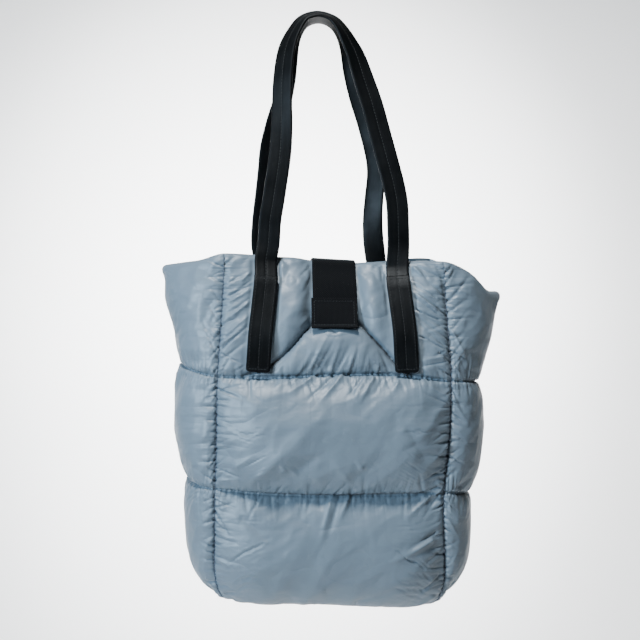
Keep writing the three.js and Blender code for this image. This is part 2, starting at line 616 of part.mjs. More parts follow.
// Frames down a panel's face, from one height below the mouth to another, lifted clear of it.
function framesOnPanel(s, bandShare, fromDrop, toDrop, lift) {
  const rows = ROWS.filter((v) => v <= 1);
  const columns = [s - bandShare, s, s + bandShare];
  const points = rows.map((v) => columns.map((column) => facePoint(column, v)));
  const drops = points.map((row) => MOUTH_Z - row[1].z);
  const normals = points.map((row, r) => {
    const above = points[Math.max(0, r - 1)][1];
    const below = points[Math.min(rows.length - 1, r + 1)][1];
    const across = row[2].clone().sub(row[0]);
    return across.cross(above.clone().sub(below)).normalize();
  });
  const frameAt = (drop) => {
    const next = drops.findIndex((d, i) => i > 0 && d > drop && drops[i - 1] <= drop);
    const r = next < 0 ? rows.length - 2 : next - 1;
    const t = clamp01((drop - drops[r]) / (drops[r + 1] - drops[r]));
    const [left, middle, right] = points[r].map((p, i) => p.clone().lerp(points[r + 1][i], t));
    const out = normals[r].clone().lerp(normals[r + 1], t).normalize();
    const side = right.clone().sub(left).normalize();
    side.addScaledVector(out, -side.dot(out)).normalize();
    const raised = Math.max(0, ...[left, right].map((p) => p.clone().sub(middle).dot(out)));
    return { middle: middle.addScaledVector(out, lift + raised), side, out };
  };
  const apart = 0.6;
  const inner = drops.filter((drop) => drop > fromDrop + apart && drop < toDrop - apart);
  return [fromDrop, ...inner, toDrop].map(frameAt);
}

// Frames of a strap in the air, from its table. side points to the inside of the loop.
function framesInAir(route) {
  const points = route.map((row) => {
    return new THREE.Vector3(row.x * HALF_WIDTH, row.y * HANDLE_DROP, row.z * HANDLE_DROP);
  });
  const away = new THREE.Vector3(0, 1, 0);
  const towards = new THREE.Vector3(0, Math.sign(route[0].y), 0);
  return points.map((middle, i) => {
    const before = points[Math.max(0, i - 1)];
    const after = points[Math.min(points.length - 1, i + 1)];
    const tangent = after.clone().sub(before).normalize();
    const turn = radians(route[i].turn);
    const flat = away.clone().cross(tangent).normalize();
    const side = flat.multiplyScalar(Math.cos(turn)).addScaledVector(towards, Math.sin(turn));
    side.addScaledVector(tangent, -side.dot(tangent)).normalize();
    const out = tangent.clone().cross(side);
    if (out.dot(towards) < 0) out.negate();
    return { middle, side, out };
  });
}

// Turns a foot's frames so that their sides point to the inside of the loop.
const facing = (frames, direction) =>
  frames.map(({ middle, side, out }) => {
    const turned = side.x * direction < 0 ? side.clone().negate() : side;
    return { middle, side: turned, out };
  });

// Puts smooth frames between the ones given.
function smoothed(frames, steps) {
  const curve = new THREE.CatmullRomCurve3(frames.map((f) => f.middle));
  const made = [];
  for (let i = 0; i + 1 < frames.length; i += 1) {
    for (let k = 0; k < steps; k += 1) {
      const t = k / steps;
      const middle = curve.getPoint((i + t) / (frames.length - 1));
      const side = frames[i].side.clone().lerp(frames[i + 1].side, smooth(t)).normalize();
      const out = frames[i].out.clone().lerp(frames[i + 1].out, smooth(t)).normalize();
      made.push({ middle, side, out });
    }
  }
  return [...made, frames[frames.length - 1]];
}

// Makes each frame square to the run of its neighbours.
function squared(frames) {
  return frames.map((frame, i) => {
    const before = frames[Math.max(0, i - 1)].middle;
    const after = frames[Math.min(frames.length - 1, i + 1)].middle;
    const tangent = after.clone().sub(before).normalize();
    const side = frame.side.clone().addScaledVector(tangent, -frame.side.dot(tangent)).normalize();
    const out = frame.out.clone().addScaledVector(tangent, -frame.out.dot(tangent));
    out.addScaledVector(side, -out.dot(side)).normalize();
    return { middle: frame.middle, side, out };
  });
}

const edgeDrop = (s) => MOUTH_Z - facePoint(s, 0).z;

function strapGeometry(route, leftStation, rightStation) {
  const toDrop = STRAP_PATCH_TOP + STRAP_PATCH_LENGTH - STRAP_END_MARGIN;
  const foot = (s, direction) => {
    const fromDrop = edgeDrop(s) + STRAP_START;
    return facing(framesOnPanel(s, STRAP_BAND, fromDrop, toDrop, STRAP_LIFT), direction);
  };
  const leftFoot = foot(leftStation, 1).reverse();
  const rightFoot = foot(rightStation, -1);
  const air = framesInAir(route);
  const joined = smoothed([leftFoot[leftFoot.length - 1], ...air, rightFoot[0]], 2);
  const frames = squared([...leftFoot.slice(0, -1), ...joined, ...rightFoot.slice(1)]);
  return bandGeometry(frames, STRAP_WIDTH, STRAP_THICKNESS);
}

function strapPatchGeometry(station) {
  const lift = STRAP_LIFT + STRAP_THICKNESS + PATCH_GAP;
  const toDrop = STRAP_PATCH_TOP + STRAP_PATCH_LENGTH;
  const frames = framesOnPanel(station, STRAP_BAND, STRAP_PATCH_TOP, toDrop, lift);
  return bandGeometry(squared(frames), STRAP_PATCH_WIDTH, STRAP_PATCH_THICKNESS);
}

// The closure's webbing: up the front, over the mouth's two edges and down the back.
function webbingGeometry() {
  const half = (s, face) => {
    const columns = [s - CLOSURE_BAND, s, s + CLOSURE_BAND];
    const edges = columns.map((column) => facePoint(column, 0));
    const linings = columns.map((column) => liningPoint(column, 0));
    const middle = edges[1];
    const side = edges[2].clone().sub(edges[0]).setY(0).normalize();
    const slope = side.z / side.x;
    const heights = [...edges, ...linings].map((p) => p.z - slope * (p.x - middle.x));
    const top = Math.max(...heights) + RIM_CLEARANCE;
    const fromDrop = edgeDrop(s) + EDGE_START;
    const down = framesOnPanel(s, CLOSURE_BAND, fromDrop, WEBBING_LENGTH, WEBBING_LIFT);
    const frame = (point, lean) => ({
      middle: new THREE.Vector3(middle.x, point.y, top),
      side,
      out: new THREE.Vector3(0, face * Math.sin(radians(lean)), Math.cos(radians(lean))),
    });
    return facing([...down.reverse(), frame(middle, RIM_LEAN), frame(linings[1], 0)], 1);
  };
  const frames = squared([...half(0, -1), ...half(4, 1).reverse()]);
  return bandGeometry(frames, WEBBING_WIDTH, WEBBING_THICKNESS);
}

function closurePatchGeometry(station) {
  const lift = WEBBING_LIFT + WEBBING_THICKNESS + PATCH_GAP;
  const toDrop = CLOSURE_PATCH_TOP + CLOSURE_PATCH_LENGTH;
  const frames = framesOnPanel(station, CLOSURE_BAND, CLOSURE_PATCH_TOP, toDrop, lift);
  return bandGeometry(squared(frames), CLOSURE_PATCH_WIDTH, CLOSURE_PATCH_THICKNESS);
}

const MATERIALS = {
  nylon: { color: 0x9fb4c4, roughness: 0.45, metalness: 0 },
  leather: { color: 0x141618, roughness: 0.5, metalness: 0 },
  webbing: { color: 0x17191a, roughness: 0.85, metalness: 0 },
};

const bag = new THREE.Group();

function place(name, geometry, material) {
  const mesh = new THREE.Mesh(geometry, new THREE.MeshStandardMaterial(MATERIALS[material]));
  mesh.name = name;
  bag.add(mesh);
}

place("front_panel", panelGeometry(frontStations), "nylon");
place("right_gusset", panelGeometry(rightStations), "nylon");
place("back_panel", panelGeometry(backStations), "nylon");
place("left_gusset", panelGeometry(leftStations), "nylon");
place("base_pad", baseGeometry(), "nylon");
const SIDES = [
  { side: "front", route: FRONT_STRAP_ROUTE, stationFor: (u) => u },
  { side: "back", route: BACK_STRAP_ROUTE, stationFor: (u) => 4 - u },
];
for (const { side, route, stationFor } of SIDES) {
  const [left, right] = [stationFor(STRAP_FEET[side].left), stationFor(STRAP_FEET[side].right)];
  place(`${side}_strap`, strapGeometry(route, left, right), "leather");
  place(`${side}_left_strap_patch`, strapPatchGeometry(left), "leather");
  place(`${side}_right_strap_patch`, strapPatchGeometry(right), "leather");
  place(`${side}_closure_patch`, closurePatchGeometry(stationFor(0)), "leather");
}
place("closure_webbing", webbingGeometry(), "webbing");

export default bag;
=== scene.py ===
# Dresses a padded nylon tote bag that hangs by its two leather straps. Lengths here are millimetres
# until a mesh is made, with +Z up, the front towards -Y and the origin at the hang point.
import math

import bmesh
import bpy
import numpy as np
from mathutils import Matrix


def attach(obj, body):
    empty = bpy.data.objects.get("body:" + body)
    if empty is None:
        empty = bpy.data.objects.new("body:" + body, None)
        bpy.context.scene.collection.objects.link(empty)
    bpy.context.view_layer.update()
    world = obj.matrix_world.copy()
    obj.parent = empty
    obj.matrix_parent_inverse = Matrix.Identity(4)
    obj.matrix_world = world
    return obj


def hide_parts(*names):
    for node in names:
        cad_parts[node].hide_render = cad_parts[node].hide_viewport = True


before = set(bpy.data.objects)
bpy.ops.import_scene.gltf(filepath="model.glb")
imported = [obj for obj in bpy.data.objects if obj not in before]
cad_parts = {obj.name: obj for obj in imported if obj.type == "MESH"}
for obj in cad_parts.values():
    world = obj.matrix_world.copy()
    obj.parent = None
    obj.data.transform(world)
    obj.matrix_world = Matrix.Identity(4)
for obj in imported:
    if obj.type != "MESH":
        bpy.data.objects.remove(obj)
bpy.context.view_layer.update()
MM = 0.001

# Driving sizes, the same as the frame's
HANDLE_DROP = 266.0
BODY_HEIGHT = 350.0
PANEL_WIDTH = 235.0
BODY_DEPTH = 118.0
GUSSET_REACH = 56.0
BODY_LEAN = 14.5
HALF_WIDTH = PANEL_WIDTH / 2
MOUTH_Z = -HANDLE_DROP

# Padding
SEAM_WALL = 5.0
RIM_WALL = 12.0
RIM_ROLL = 6.5
RIM_EDGE = 2.0
RIM_AT_SEAM = 0.55
LEAST_WALL = 3.5
DROOP_START = 1.3
TIP_PINCH = 0.3
TIP_SHARE = 0.45
FRONT_PUFF = 21.0
GUSSET_PUFF = 11.5
SIDE_ROUND = 50.0
SLANT_ROUND = 26.0
SLANT_WALL = 0.3
SLANT_SHARP = 0.7
PRESS = 0.32
PRESS_BELOW = 3.0
PRESS_FADE = 7.0
CLOSURE_FADE = 0.6
SEWN_BAND = 0.1
SEWN_FADE = 0.06
SEWN_DROP = 5.0
GROOVE_DEPTH = 1.5
GROOVE_WIDTH = 1.7
QUILT_GROOVE_DEPTH = 1.8
QUILT_GROOVE_WIDTH = 2.0

# Base
BASE_PAD = 15.0
BASE_SAG = 8.0
BASE_ROUND_HEIGHT = 42.0
BASE_ROUND_INSET = 27.0
BASE_TURN = math.radians(80)
BASE_FLAT = 0.72
CORNER_SHARE = 0.13
CORNER_KEPT = 0.45
BASE_Z = MOUTH_Z - BODY_HEIGHT - BASE_SAG

# Straps and closure
STRAP_WIDTH = 23.0
STRAP_THICKNESS = 3.2
STRAP_PATCH_WIDTH = 24.0
STRAP_PATCH_THICKNESS = 1.5
STRAP_PATCH_TOP = 21.0
STRAP_PATCH_LENGTH = 94.0
STRAP_END_MARGIN = 5.0
STRAP_FEET = {"front": {"left": -0.66, "right": 0.61}, "back": {"left": -0.67, "right": 0.5}}
STRAP_BAND = 0.125
WEBBING_WIDTH = 45.0
WEBBING_THICKNESS = 1.8
WEBBING_LENGTH = 69.0
CLOSURE_PATCH_WIDTH = 46.0
CLOSURE_PATCH_SHIFT = 1.1
CLOSURE_PATCH_THICKNESS = 1.7
CLOSURE_PATCH_TOP = 43.0
CLOSURE_PATCH_LENGTH = 31.0
CLOSURE_BAND = 0.215
STRAP_LIFT = 0.7
WEBBING_LIFT = 0.5
PATCH_GAP = 0.3
STRAP_START = 6.0
STITCH_LIFT = 0.02
SEAM_STITCH_START = 0.03
SEAM_STITCH_LIFT = 0.35
QUILT_STITCH_LIFT = 0.1
PATCH_CORNER = 3.5
RIM_CLEARANCE = 1.7
EDGE_START = 0.3


def rows_of(names, *rows):
    """A table whose columns are named once."""
    columns = names.split()
    return [dict(zip(columns, row)) for row in rows]


# Plan sections of the lining. level: share of the height below the mouth. The rest are shares of
# half the panel's width, the depth, the depth, the gusset's reach on either side and the lean.
SECTIONS = rows_of(
    "level half depth swell left right lean crease",
    (0, 0.955, 0.66, -0.22, 1.15, 1.17, 1, 0.75),
    (0.08, 0.962, 0.72, -0.19, 0.96, 1.18, 1, 0.6),
    (0.18, 0.975, 0.81, -0.11, 0.71, 0.83, 1, 0.4),
    (0.27, 0.985, 0.9, -0.03, 0.68, 0.63, 0.98, 0.25),
    (0.36, 0.998, 0.96, 0.02, 0.63, 0.56, 0.97, 0.15),
    (0.5, 0.99, 1, 0.05, 0.55, 0.54, 0.87, 0.1),
    (0.68, 0.97, 1, 0.05, 0.43, 0.53, 0.62, 0.1),
    (0.84, 0.975, 0.98, 0.05, 0.29, 0.36, 0.62, 0.1),
    (1, 1, 0.95, 0.04, 0.06, 0.2, 0.62, 0.1),
)

# Heights of the lines that run round the bag, in shares below the mouth. at: -2 and 2 are the
# gussets' folds, -1 and 1 the upright seams.
LINES = rows_of(
    "at mouth back_mouth upper lower base",
    (-2, 0.014, 0.014, 0.306, 0.64, 0.956),
    (-1.6, 0.01, 0.01, 0.322, 0.649, 0.962),
    (-1.3, 0.005, 0.005, 0.334, 0.656, 0.968),
    (-1, -0.012, -0.012, 0.343, 0.661, 0.975),
    (-0.5, -0.004, -0.004, 0.348, 0.672, 0.966),
    (0, 0.012, 0.012, 0.342, 0.676, 0.967),
    (0.5, 0.012, 0, 0.342, 0.676, 0.98),
    (1, 0.01, -0.014, 0.358, 0.676, 0.998),
    (1.3, 0.036, 0.03, 0.36, 0.682, 0.98),
    (1.6, 0.087, 0.085, 0.363, 0.69, 0.97),
    (2, 0.093, 0.093, 0.366, 0.696, 0.964),
)

# The slanting seams under the closure, left and right of the middle.
SLANTS = {
    "left": [(-0.215, 0.21), (-0.36, 0.262), (-0.46, 0.293), (-0.56, 0.315), (-0.775, 0.343)],
    "right": [(0.2, 0.2), (0.3, 0.236), (0.42, 0.272), (0.54, 0.32), (0.66, 0.345)],
}

# Places of the straps above the mouth, as shares of half the panel's width and the handle's drop.
FRONT_STRAP_ROUTE = rows_of(
    "x y z turn",
    (-0.447, -0.135, -0.945, 2),
    (-0.434, -0.13, -0.859, 2),
    (-0.407, -0.124, -0.784, 2),
    (-0.373, -0.117, -0.685, 3),
    (-0.342, -0.109, -0.584, 6),
    (-0.328, -0.102, -0.485, 16),
    (-0.324, -0.094, -0.403, 26),
    (-0.317, -0.085, -0.302, 32),
    (-0.295, -0.073, -0.21, 38),
    (-0.262, -0.064, -0.15, 45),
    (-0.209, -0.055, -0.099, 53),
    (-0.145, -0.048, -0.056, 59),
    (-0.08, -0.044, -0.039, 61),
    (-0.001, -0.043, -0.032, 62),
    (0.077, -0.044, -0.04, 61),
    (0.141, -0.048, -0.057, 57),
    (0.209, -0.055, -0.098, 50),
    (0.267, -0.062, -0.147, 40),
    (0.323, -0.071, -0.201, 29),
    (0.391, -0.085, -0.295, 15),
    (0.469, -0.094, -0.4, 5),
    (0.543, -0.103, -0.524, 2),
    (0.601, -0.111, -0.622, 1),
    (0.65, -0.118, -0.709, 1),
    (0.68, -0.124, -0.787, 1),
    (0.687, -0.13, -0.872, 1),
    (0.688, -0.135, -0.956, 1),
)
BACK_STRAP_ROUTE = rows_of(
    "x y z turn",
    (-0.516, 0.137, -0.925, 4),
    (-0.507, 0.132, -0.833, 8),
    (-0.48, 0.124, -0.731, 12),
    (-0.455, 0.117, -0.63, 16),
    (-0.432, 0.109, -0.529, 20),
    (-0.378, 0.102, -0.431, 25),
    (-0.324, 0.094, -0.353, 30),
    (-0.275, 0.085, -0.256, 35),
    (-0.247, 0.073, -0.162, 41),
    (-0.222, 0.063, -0.108, 52),
    (-0.17, 0.053, -0.061, 66),
    (-0.096, 0.047, -0.03, 77),
    (0.013, 0.045, -0.018, 81),
    (0.12, 0.047, -0.03, 77),
    (0.207, 0.053, -0.064, 66),
    (0.274, 0.064, -0.124, 50),
    (0.326, 0.079, -0.222, 34),
    (0.389, 0.092, -0.322, 28),
    (0.46, 0.102, -0.414, 26),
    (0.514, 0.109, -0.502, 28),
    (0.548, 0.117, -0.575, 32),
    (0.554, 0.12, -0.641, 34),
    (0.538, 0.126, -0.718, 33),
    (0.526, 0.132, -0.814, 26),
    (0.537, 0.137, -0.905, 12),
)


def mix(a, b, t):
    return a + (b - a) * t


def clamp01(t):
    return np.clip(t, 0.0, 1.0)


def smooth(t):
    t = clamp01(t)
    return t * t * (3 - 2 * t)


def unit(vectors):
    length = np.linalg.norm(vectors, axis=-1, keepdims=True)
    return vectors / np.maximum(length, 1e-9)


def from_table(rows, key, at, column):
    """A smooth value from a table whose rows are ordered by the column named key."""
    places = np.array([row[key] for row in rows], float)
    values = np.array([row[column] for row in rows], float)
    last = len(places) - 1
    at = np.asarray(at, float)
    i = np.clip(np.searchsorted(places, at, side="right") - 1, 0, last - 1)
    slopes = np.empty(last + 1)
    slopes[1:-1] = (values[2:] - values[:-2]) / (places[2:] - places[:-2])
    slopes[0] = (values[1] - values[0]) / (places[1] - places[0])
    slopes[-1] = (values[-1] - values[-2]) / (places[-1] - places[-2])
    run = places[i + 1] - places[i]
    t = clamp01((at - places[i]) / run)
    t2, t3 = t * t, t * t * t
    start = (2 * t3 - 3 * t2 + 1) * values[i] + (t3 - 2 * t2 + t) * run * slopes[i]
    return start + (3 * t2 - 2 * t3) * values[i + 1] + (t3 - t2) * run * slopes[i + 1]


# A station s runs round the bag: -1 to 1 the front, 1 to 3 the right gusset, 3 to 5 the back and
# 5 to 7 the left gusset. across: -1 to 1 between the seams. out: 0 at a seam, 1 at a fold.
def station(s):
    s = np.asarray(s, float)
    out_right = 1 - np.abs(s - 2)
    out_left = 1 - np.abs(s - 6)
    out = np.where((s > 1) & (s <= 3), out_right, np.where(s > 5, out_left, 0.0))
    across = np.where(s <= 1, s, np.where(s <= 3, 1.0, np.where(s <= 5, 4 - s, -1.0)))
    face = np.where((s < 2) | (s >= 6), -1.0, 1.0)
    return across, np.maximum(out, 0.0), face


def line_z(s, line):
    across, out, face = station(s)
    at = across * (1 + out)
    shares = from_table(LINES, "at", at, line)
    if line == "mouth":
        shares = np.where(face > 0, from_table(LINES, "at", at, "back_mouth"), shares)
    return MOUTH_Z - BODY_HEIGHT * shares


def row_place(s, v):
    """Height of row v at station s, with how far the section is drawn in where it turns under."""
    channel = np.clip(np.floor(v), 0, 2)
    share = v - channel
    tops = [line_z(s, name) for name in ("mouth", "upper", "lower")]
    bottoms = [line_z(s, name) for name in ("upper", "lower", "base")]
    top = np.choose(channel.astype(int), tops)
    bottom = np.choose(channel.astype(int), bottoms)
    z = mix(top, bottom, share)
    arc_top = bottom + BASE_ROUND_HEIGHT * math.sin(BASE_TURN)
    arc_run = BASE_ROUND_HEIGHT * BASE_TURN
    straight = 1 - arc_run / (top - arc_top + arc_run)
    angle = BASE_TURN * clamp01((share - straight) / (1 - straight))
    turned_z = np.where(share <= straight, mix(top, arc_top, share / straight),
                        arc_top - BASE_ROUND_HEIGHT * np.sin(angle))
    in_base = channel == 2
    across, out, _ = station(s)
    to_corner = np.abs(1 - np.abs(across)) + out
    corner = CORNER_KEPT * np.exp(-((to_corner / CORNER_SHARE) ** 2))
    inset = np.where(in_base, BASE_ROUND_INSET * (1 - np.cos(angle)) * (1 - corner), 0.0)
    return np.where(in_base, turned_z, z), inset


def level_of(z):
    return (MOUTH_Z - z) / BODY_HEIGHT


def lining_point(s, v):
    across, out, face = station(s)
    z, inset = row_place(s, v)
    section = {name: from_table(SECTIONS, "level", level_of(z), name) for name in SECTIONS[0]}
    half = HALF_WIDTH * section["half"]
    half_depth = BODY_DEPTH * section["depth"] / 2
    reach = GUSSET_REACH * np.where(across < 0, section["left"], section["right"])
    angle = out * math.pi / 2
    on_gusset = out > 0
    fold_x = reach * mix(np.sin(angle), out, section["crease"])
    x = half * across + np.where(on_gusset, np.sign(across) * fold_x, 0.0)
    bowed = half_depth + BODY_DEPTH * section["swell"] * (1 - across ** 2)
    folded = half_depth * mix(np.cos(angle), 1 - out, section["crease"])
    y = face * np.where(on_gusset, folded, bowed)
    shrink_x = 1 - inset / HALF_WIDTH
    shrink_y = 1 - inset / (BODY_DEPTH / 2)
    return np.stack([BODY_LEAN * section["lean"] + x * shrink_x, y * shrink_y, z], -1)


def wrapped(s):
    return np.where(s < -1, s + 8, np.where(s >= 7, s - 8, s))


NORMAL_STEP = 0.04


def outward(s, v):
    step = NORMAL_STEP
    along = lining_point(wrapped(s + step), v) - lining_point(wrapped(s - step), v)
    up = lining_point(s, np.maximum(0, v - step)) - lining_point(s, np.minimum(3, v + step))
    return unit(np.cross(along, up))


# A distance that no fold or seam reaches.
FAR = 99.0


def flat_place(s, z):
    """Millimetres across the cloth from its panel's middle, and down from the mouth."""
    across, out, _ = station(s)
    return np.sign(across) * (np.abs(across) + out) * HALF_WIDTH, MOUTH_Z - z


def to_segment(px, pz, start, end):
    """Distance from places on the flat cloth to a segment, and the share along it."""
    dx, dz = end[0] - start[0], end[1] - start[1]
    along = clamp01(((px - start[0]) * dx + (pz - start[1]) * dz) / (dx * dx + dz * dz))
    return np.hypot(px - start[0] - along * dx, pz - start[1] - along * dz), along


def slant_distance(s, z):
    px, pz = flat_place(s, z)
    nearest = np.full(np.shape(px), FAR)
    for route in SLANTS.values():
        for (a0, l0), (a1, l1) in zip(route, route[1:]):
            start = (a0 * HALF_WIDTH, l0 * BODY_HEIGHT)
            end = (a1 * HALF_WIDTH, l1 * BODY_HEIGHT)
            nearest = np.minimum(nearest, to_segment(px, pz, start, end)[0])
    return nearest


def above_slant(px, pz):
    """How far a place on the flat cloth lies above a slanting seam, in mm, and FAR beside them."""
    above = np.full(np.shape(px), FAR)
    for route in SLANTS.values():
        places = np.array(sorted(route)) * (HALF_WIDTH, BODY_HEIGHT)
        run = places[-1] - places[0]
        inside = (px >= places[0, 0]) & (px <= places[-1, 0])
        drop = np.interp(px, places[:, 0], places[:, 1]) - pz
        above = np.where(inside, drop * run[0] / np.hypot(*run), above)
    return above


def rise(distance, reach):
    """0 at a seam, rising to 1 at the given distance from it."""
    return 1 - (1 - clamp01(distance / reach)) ** 2


def band(offset, half, fade):
    return 1 - smooth((np.abs(offset) - half) / fade)


# How the padding swells down each channel. rise and fall: shares of the channel over which it
# rises from its upper seam and falls to its lower one. droop: how far the puff sags, in mm.
CHANNEL_SWELL = rows_of(
    "rise sharp_rise fall sharp_fall droop",
    (0.3, 0.5, 0.62, 0.62, 1.0),
    (0.62, 0.6, 0.5, 0.56, 1.6),
    (0.72, 0.85, 0.55, 0.5, 1.0),
)


GUSSET_SHARP_RISE = 0.5
GUSSET_SHARP_FALL = 0.66
RIM_SWELL = 0.55
FOLD_RUN = 0.55


def channel_profile(v, on_gusset):
    channel = np.clip(np.floor(v), 0, 2).astype(int)
    share = v - channel
    value = {key: np.array([row[key] for row in CHANNEL_SWELL])[channel] for key in CHANNEL_SWELL[0]}
    value["sharp_rise"] = np.where(on_gusset, GUSSET_SHARP_RISE, value["sharp_rise"])
    value["sharp_fall"] = np.where(on_gusset, GUSSET_SHARP_FALL, value["sharp_fall"])
    up = rise(share, value["rise"]) ** value["sharp_rise"]
    up = np.where(channel == 0, mix(RIM_SWELL, 1.0, smooth(share / value["rise"])), up)
    down = rise(1 - share, value["fall"]) ** value["sharp_fall"]
    return up * down, value["droop"], channel, share


def seam_distance(s):
    across, out, _ = station(s)
    fold = math.hypot(GUSSET_REACH, BODY_DEPTH) * FOLD_RUN
    return np.where(out > 0, out * fold, (1 - np.abs(across)) * HALF_WIDTH)


def pressed(s, z):
    """1 where a strap or the closure is sewn flat through the padding, 0 away from it."""
    across, out, face = station(s)
    left = np.where(face < 0, STRAP_FEET["front"]["left"], STRAP_FEET["back"]["left"])
    right = np.where(face < 0, STRAP_FEET["front"]["right"], STRAP_FEET["back"]["right"])
    straps = np.maximum(band(across - left, STRAP_BAND, STRAP_BAND),
                        band(across - right, STRAP_BAND, STRAP_BAND))
    patch_end = CLOSURE_PATCH_TOP + CLOSURE_PATCH_LENGTH + PRESS_BELOW
    closure = band(across, CLOSURE_BAND, CLOSURE_BAND * CLOSURE_FADE)
    closure = closure * (1 - smooth((MOUTH_Z - z - patch_end) / PRESS_FADE))
    return np.where(out > 0, 0.0, np.maximum(straps, closure))


def sewn(s, z):
    """1 under a strap's patch or the closure, 0 away from them."""
    across, out, face = station(s)
    off = np.full(np.shape(across), FAR)
    for side_name, on_side in (("front", face < 0), ("back", face > 0)):
        for foot in STRAP_FEET[side_name].values():
            off = np.where(on_side, np.minimum(off, np.abs(across - foot)), off)
    drop = MOUTH_Z - z
    strap_end = STRAP_PATCH_TOP + STRAP_PATCH_LENGTH
    straps = band(off, SEWN_BAND, SEWN_FADE) * (1 - smooth((drop - strap_end) / SEWN_DROP))
    closure_end = CLOSURE_PATCH_TOP + CLOSURE_PATCH_LENGTH
    closure = band(across, CLOSURE_BAND, SEWN_FADE) * (1 - smooth((drop - closure_end) / SEWN_DROP))
    return np.where(out > 0, 0.0, np.maximum(straps, closure))


def padding(s, v):
    _, out, face = station(s)
    z, _ = row_place(s, v)
    on_gusset = out > 0
    profile, droop, channel, share = channel_profile(v, on_gusset)
    side = rise(seam_distance(s), SIDE_ROUND)
    puff = np.where(on_gusset, GUSSET_PUFF, FRONT_PUFF)
    top = channel == 0
    puff = np.where(top, puff * (1 - PRESS * pressed(s, z)), puff)
    slant = mix(SLANT_WALL, 1.0, rise(slant_distance(s, z), SLANT_ROUND) ** SLANT_SHARP)
    puff = np.where(top & (face < 0) & ~on_gusset, puff * slant, puff)
    tip = mix(1.0, mix(TIP_PINCH, 1.0, smooth(share / TIP_SHARE)), out)
    puff = np.where(on_gusset & top, puff * tip, puff)
    thickness = SEAM_WALL + puff * profile * side
    rim_wall = RIM_WALL * (1 - share) * mix(RIM_AT_SEAM, 1.0, side) * mix(1.0, TIP_PINCH, out)
    thickness = np.where(top, np.maximum(thickness, rim_wall), thickness)
    below_rim = np.abs(z - line_z(s, "mouth"))
    roll = np.sqrt(1 - (1 - clamp01(below_rim / RIM_ROLL)) ** 2)
    thickness = mix(RIM_EDGE, np.maximum(LEAST_WALL, thickness), roll)
    return thickness, droop * profile * side * smooth(share * DROOP_START)


def face_point(s, v, lift=0.0):
    """The quilted face, without its creases, raised by lift."""
    thickness, droop = padding(s, v)
    point = lining_point(s, v) + outward(s, v) * (thickness + lift)[..., None]
    point[..., 2] -= droop
    return point


# Creases. Each is a ridge or a dent along a short line on the flat cloth.
DENT_PLUMP = 0.5
DENT_PLUMP_REACH = 2.4
CREASE_NARROWED = 0.8
CREASE_REACH = 5.0
CREASE_SPREAD = (0.7, 1.25)
CREASE_BLUNT = 0.3
CREASE_FADE_IN = 3.0
CREASE_FADE_OUT = 1.5
CREASE_FADE_POWER = 0.8
NOISE_GAIN = 1.6


def crease_rise(px, pz, creases, start=1.0):
    """Sum of the creases: rows of x0, z0, x1, z1, height and half width, in mm.

    A crease with a height below nothing is a dent, and the cloth is plump on both sides of it.
    start: its share of the height at its first end.
    """
    total = np.zeros(np.shape(px))
    for x0, z0, x1, z1, height, wide in creases:
        reach = CREASE_REACH * wide
        near = (px > min(x0, x1) - reach) & (px < max(x0, x1) + reach)
        near &= (pz > min(z0, z1) - reach) & (pz < max(z0, z1) + reach)
        if not near.any():
            continue
        distance, along = to_segment(px[near], pz[near], (x0, z0), (x1, z1))
        taper = mix(start, 1.0, smooth(CREASE_FADE_IN * along))
        taper = taper * clamp01(CREASE_FADE_OUT * (1 - along)) ** CREASE_FADE_POWER
        share = distance / (wide * CREASE_NARROWED * mix(*CREASE_SPREAD, along))
        line = np.exp(CREASE_BLUNT - np.sqrt(2 * share * share + CREASE_BLUNT ** 2))
        plump = DENT_PLUMP * np.exp(-((share / DENT_PLUMP_REACH) ** 2)) if height < 0 else 0.0
        total[near] += height * taper * (line - plump)
    return total


def gradient_noise(px, pz, cell, random):
    """Smooth noise over the flat cloth, about -1 to 1, that changes over a cell."""
    x, z = (px - px.min()) / cell, (pz - pz.min()) / cell
    turns = random.uniform(0, 2 * math.pi, (int(z.max()) + 2, int(x.max()) + 2))
    i, j = z.astype(int), x.astype(int)
    fz, fx = z - i, x - j

    def corner(down, right):
        turn = turns[i + down, j + right]
        return np.cos(turn) * (fx - right) + np.sin(turn) * (fz - down)

    top = mix(corner(0, 0), corner(0, 1), smooth(fx))
    bottom = mix(corner(1, 0), corner(1, 1), smooth(fx))
    return NOISE_GAIN * mix(top, bottom, smooth(fz))


# Crumples all over the cloth: sharp crests between smooth hollows. cell and high: mm.
CRUMPLES = rows_of(
    "cell high",
    (46.0, 3.2),
    (24.0, 1.9),
    (12.0, 0.8),
)
CRUMPLE_LEAN = math.radians(-38)
CRUMPLE_STRETCH = 1.9
CRUMPLE_BLUNT = 0.05
CRUMPLE_LEVEL = 0.35
CRUMPLE_BEND = 0.35
CRUMPLE_BEND_CELL = 1.7
CRUMPLE_REACH = 30.0
CRUMPLE_FOOT = 9.0
CRUMPLE_CALM = 0.5


def crumple(px, pz, random):
    along = px * math.cos(CRUMPLE_LEAN) + pz * math.sin(CRUMPLE_LEAN)
    across = pz * math.cos(CRUMPLE_LEAN) - px * math.sin(CRUMPLE_LEAN)
    total = np.zeros(np.shape(px))
    for row in CRUMPLES:
        bent = gradient_noise(along, across, row["cell"] * CRUMPLE_BEND_CELL, random)
        bend = row["cell"] * CRUMPLE_BEND * bent
        noise = gradient_noise((along + bend) / CRUMPLE_STRETCH, across + bend, row["cell"], random)
        total += row["high"] * (CRUMPLE_LEVEL - np.hypot(noise, CRUMPLE_BLUNT))
    return total


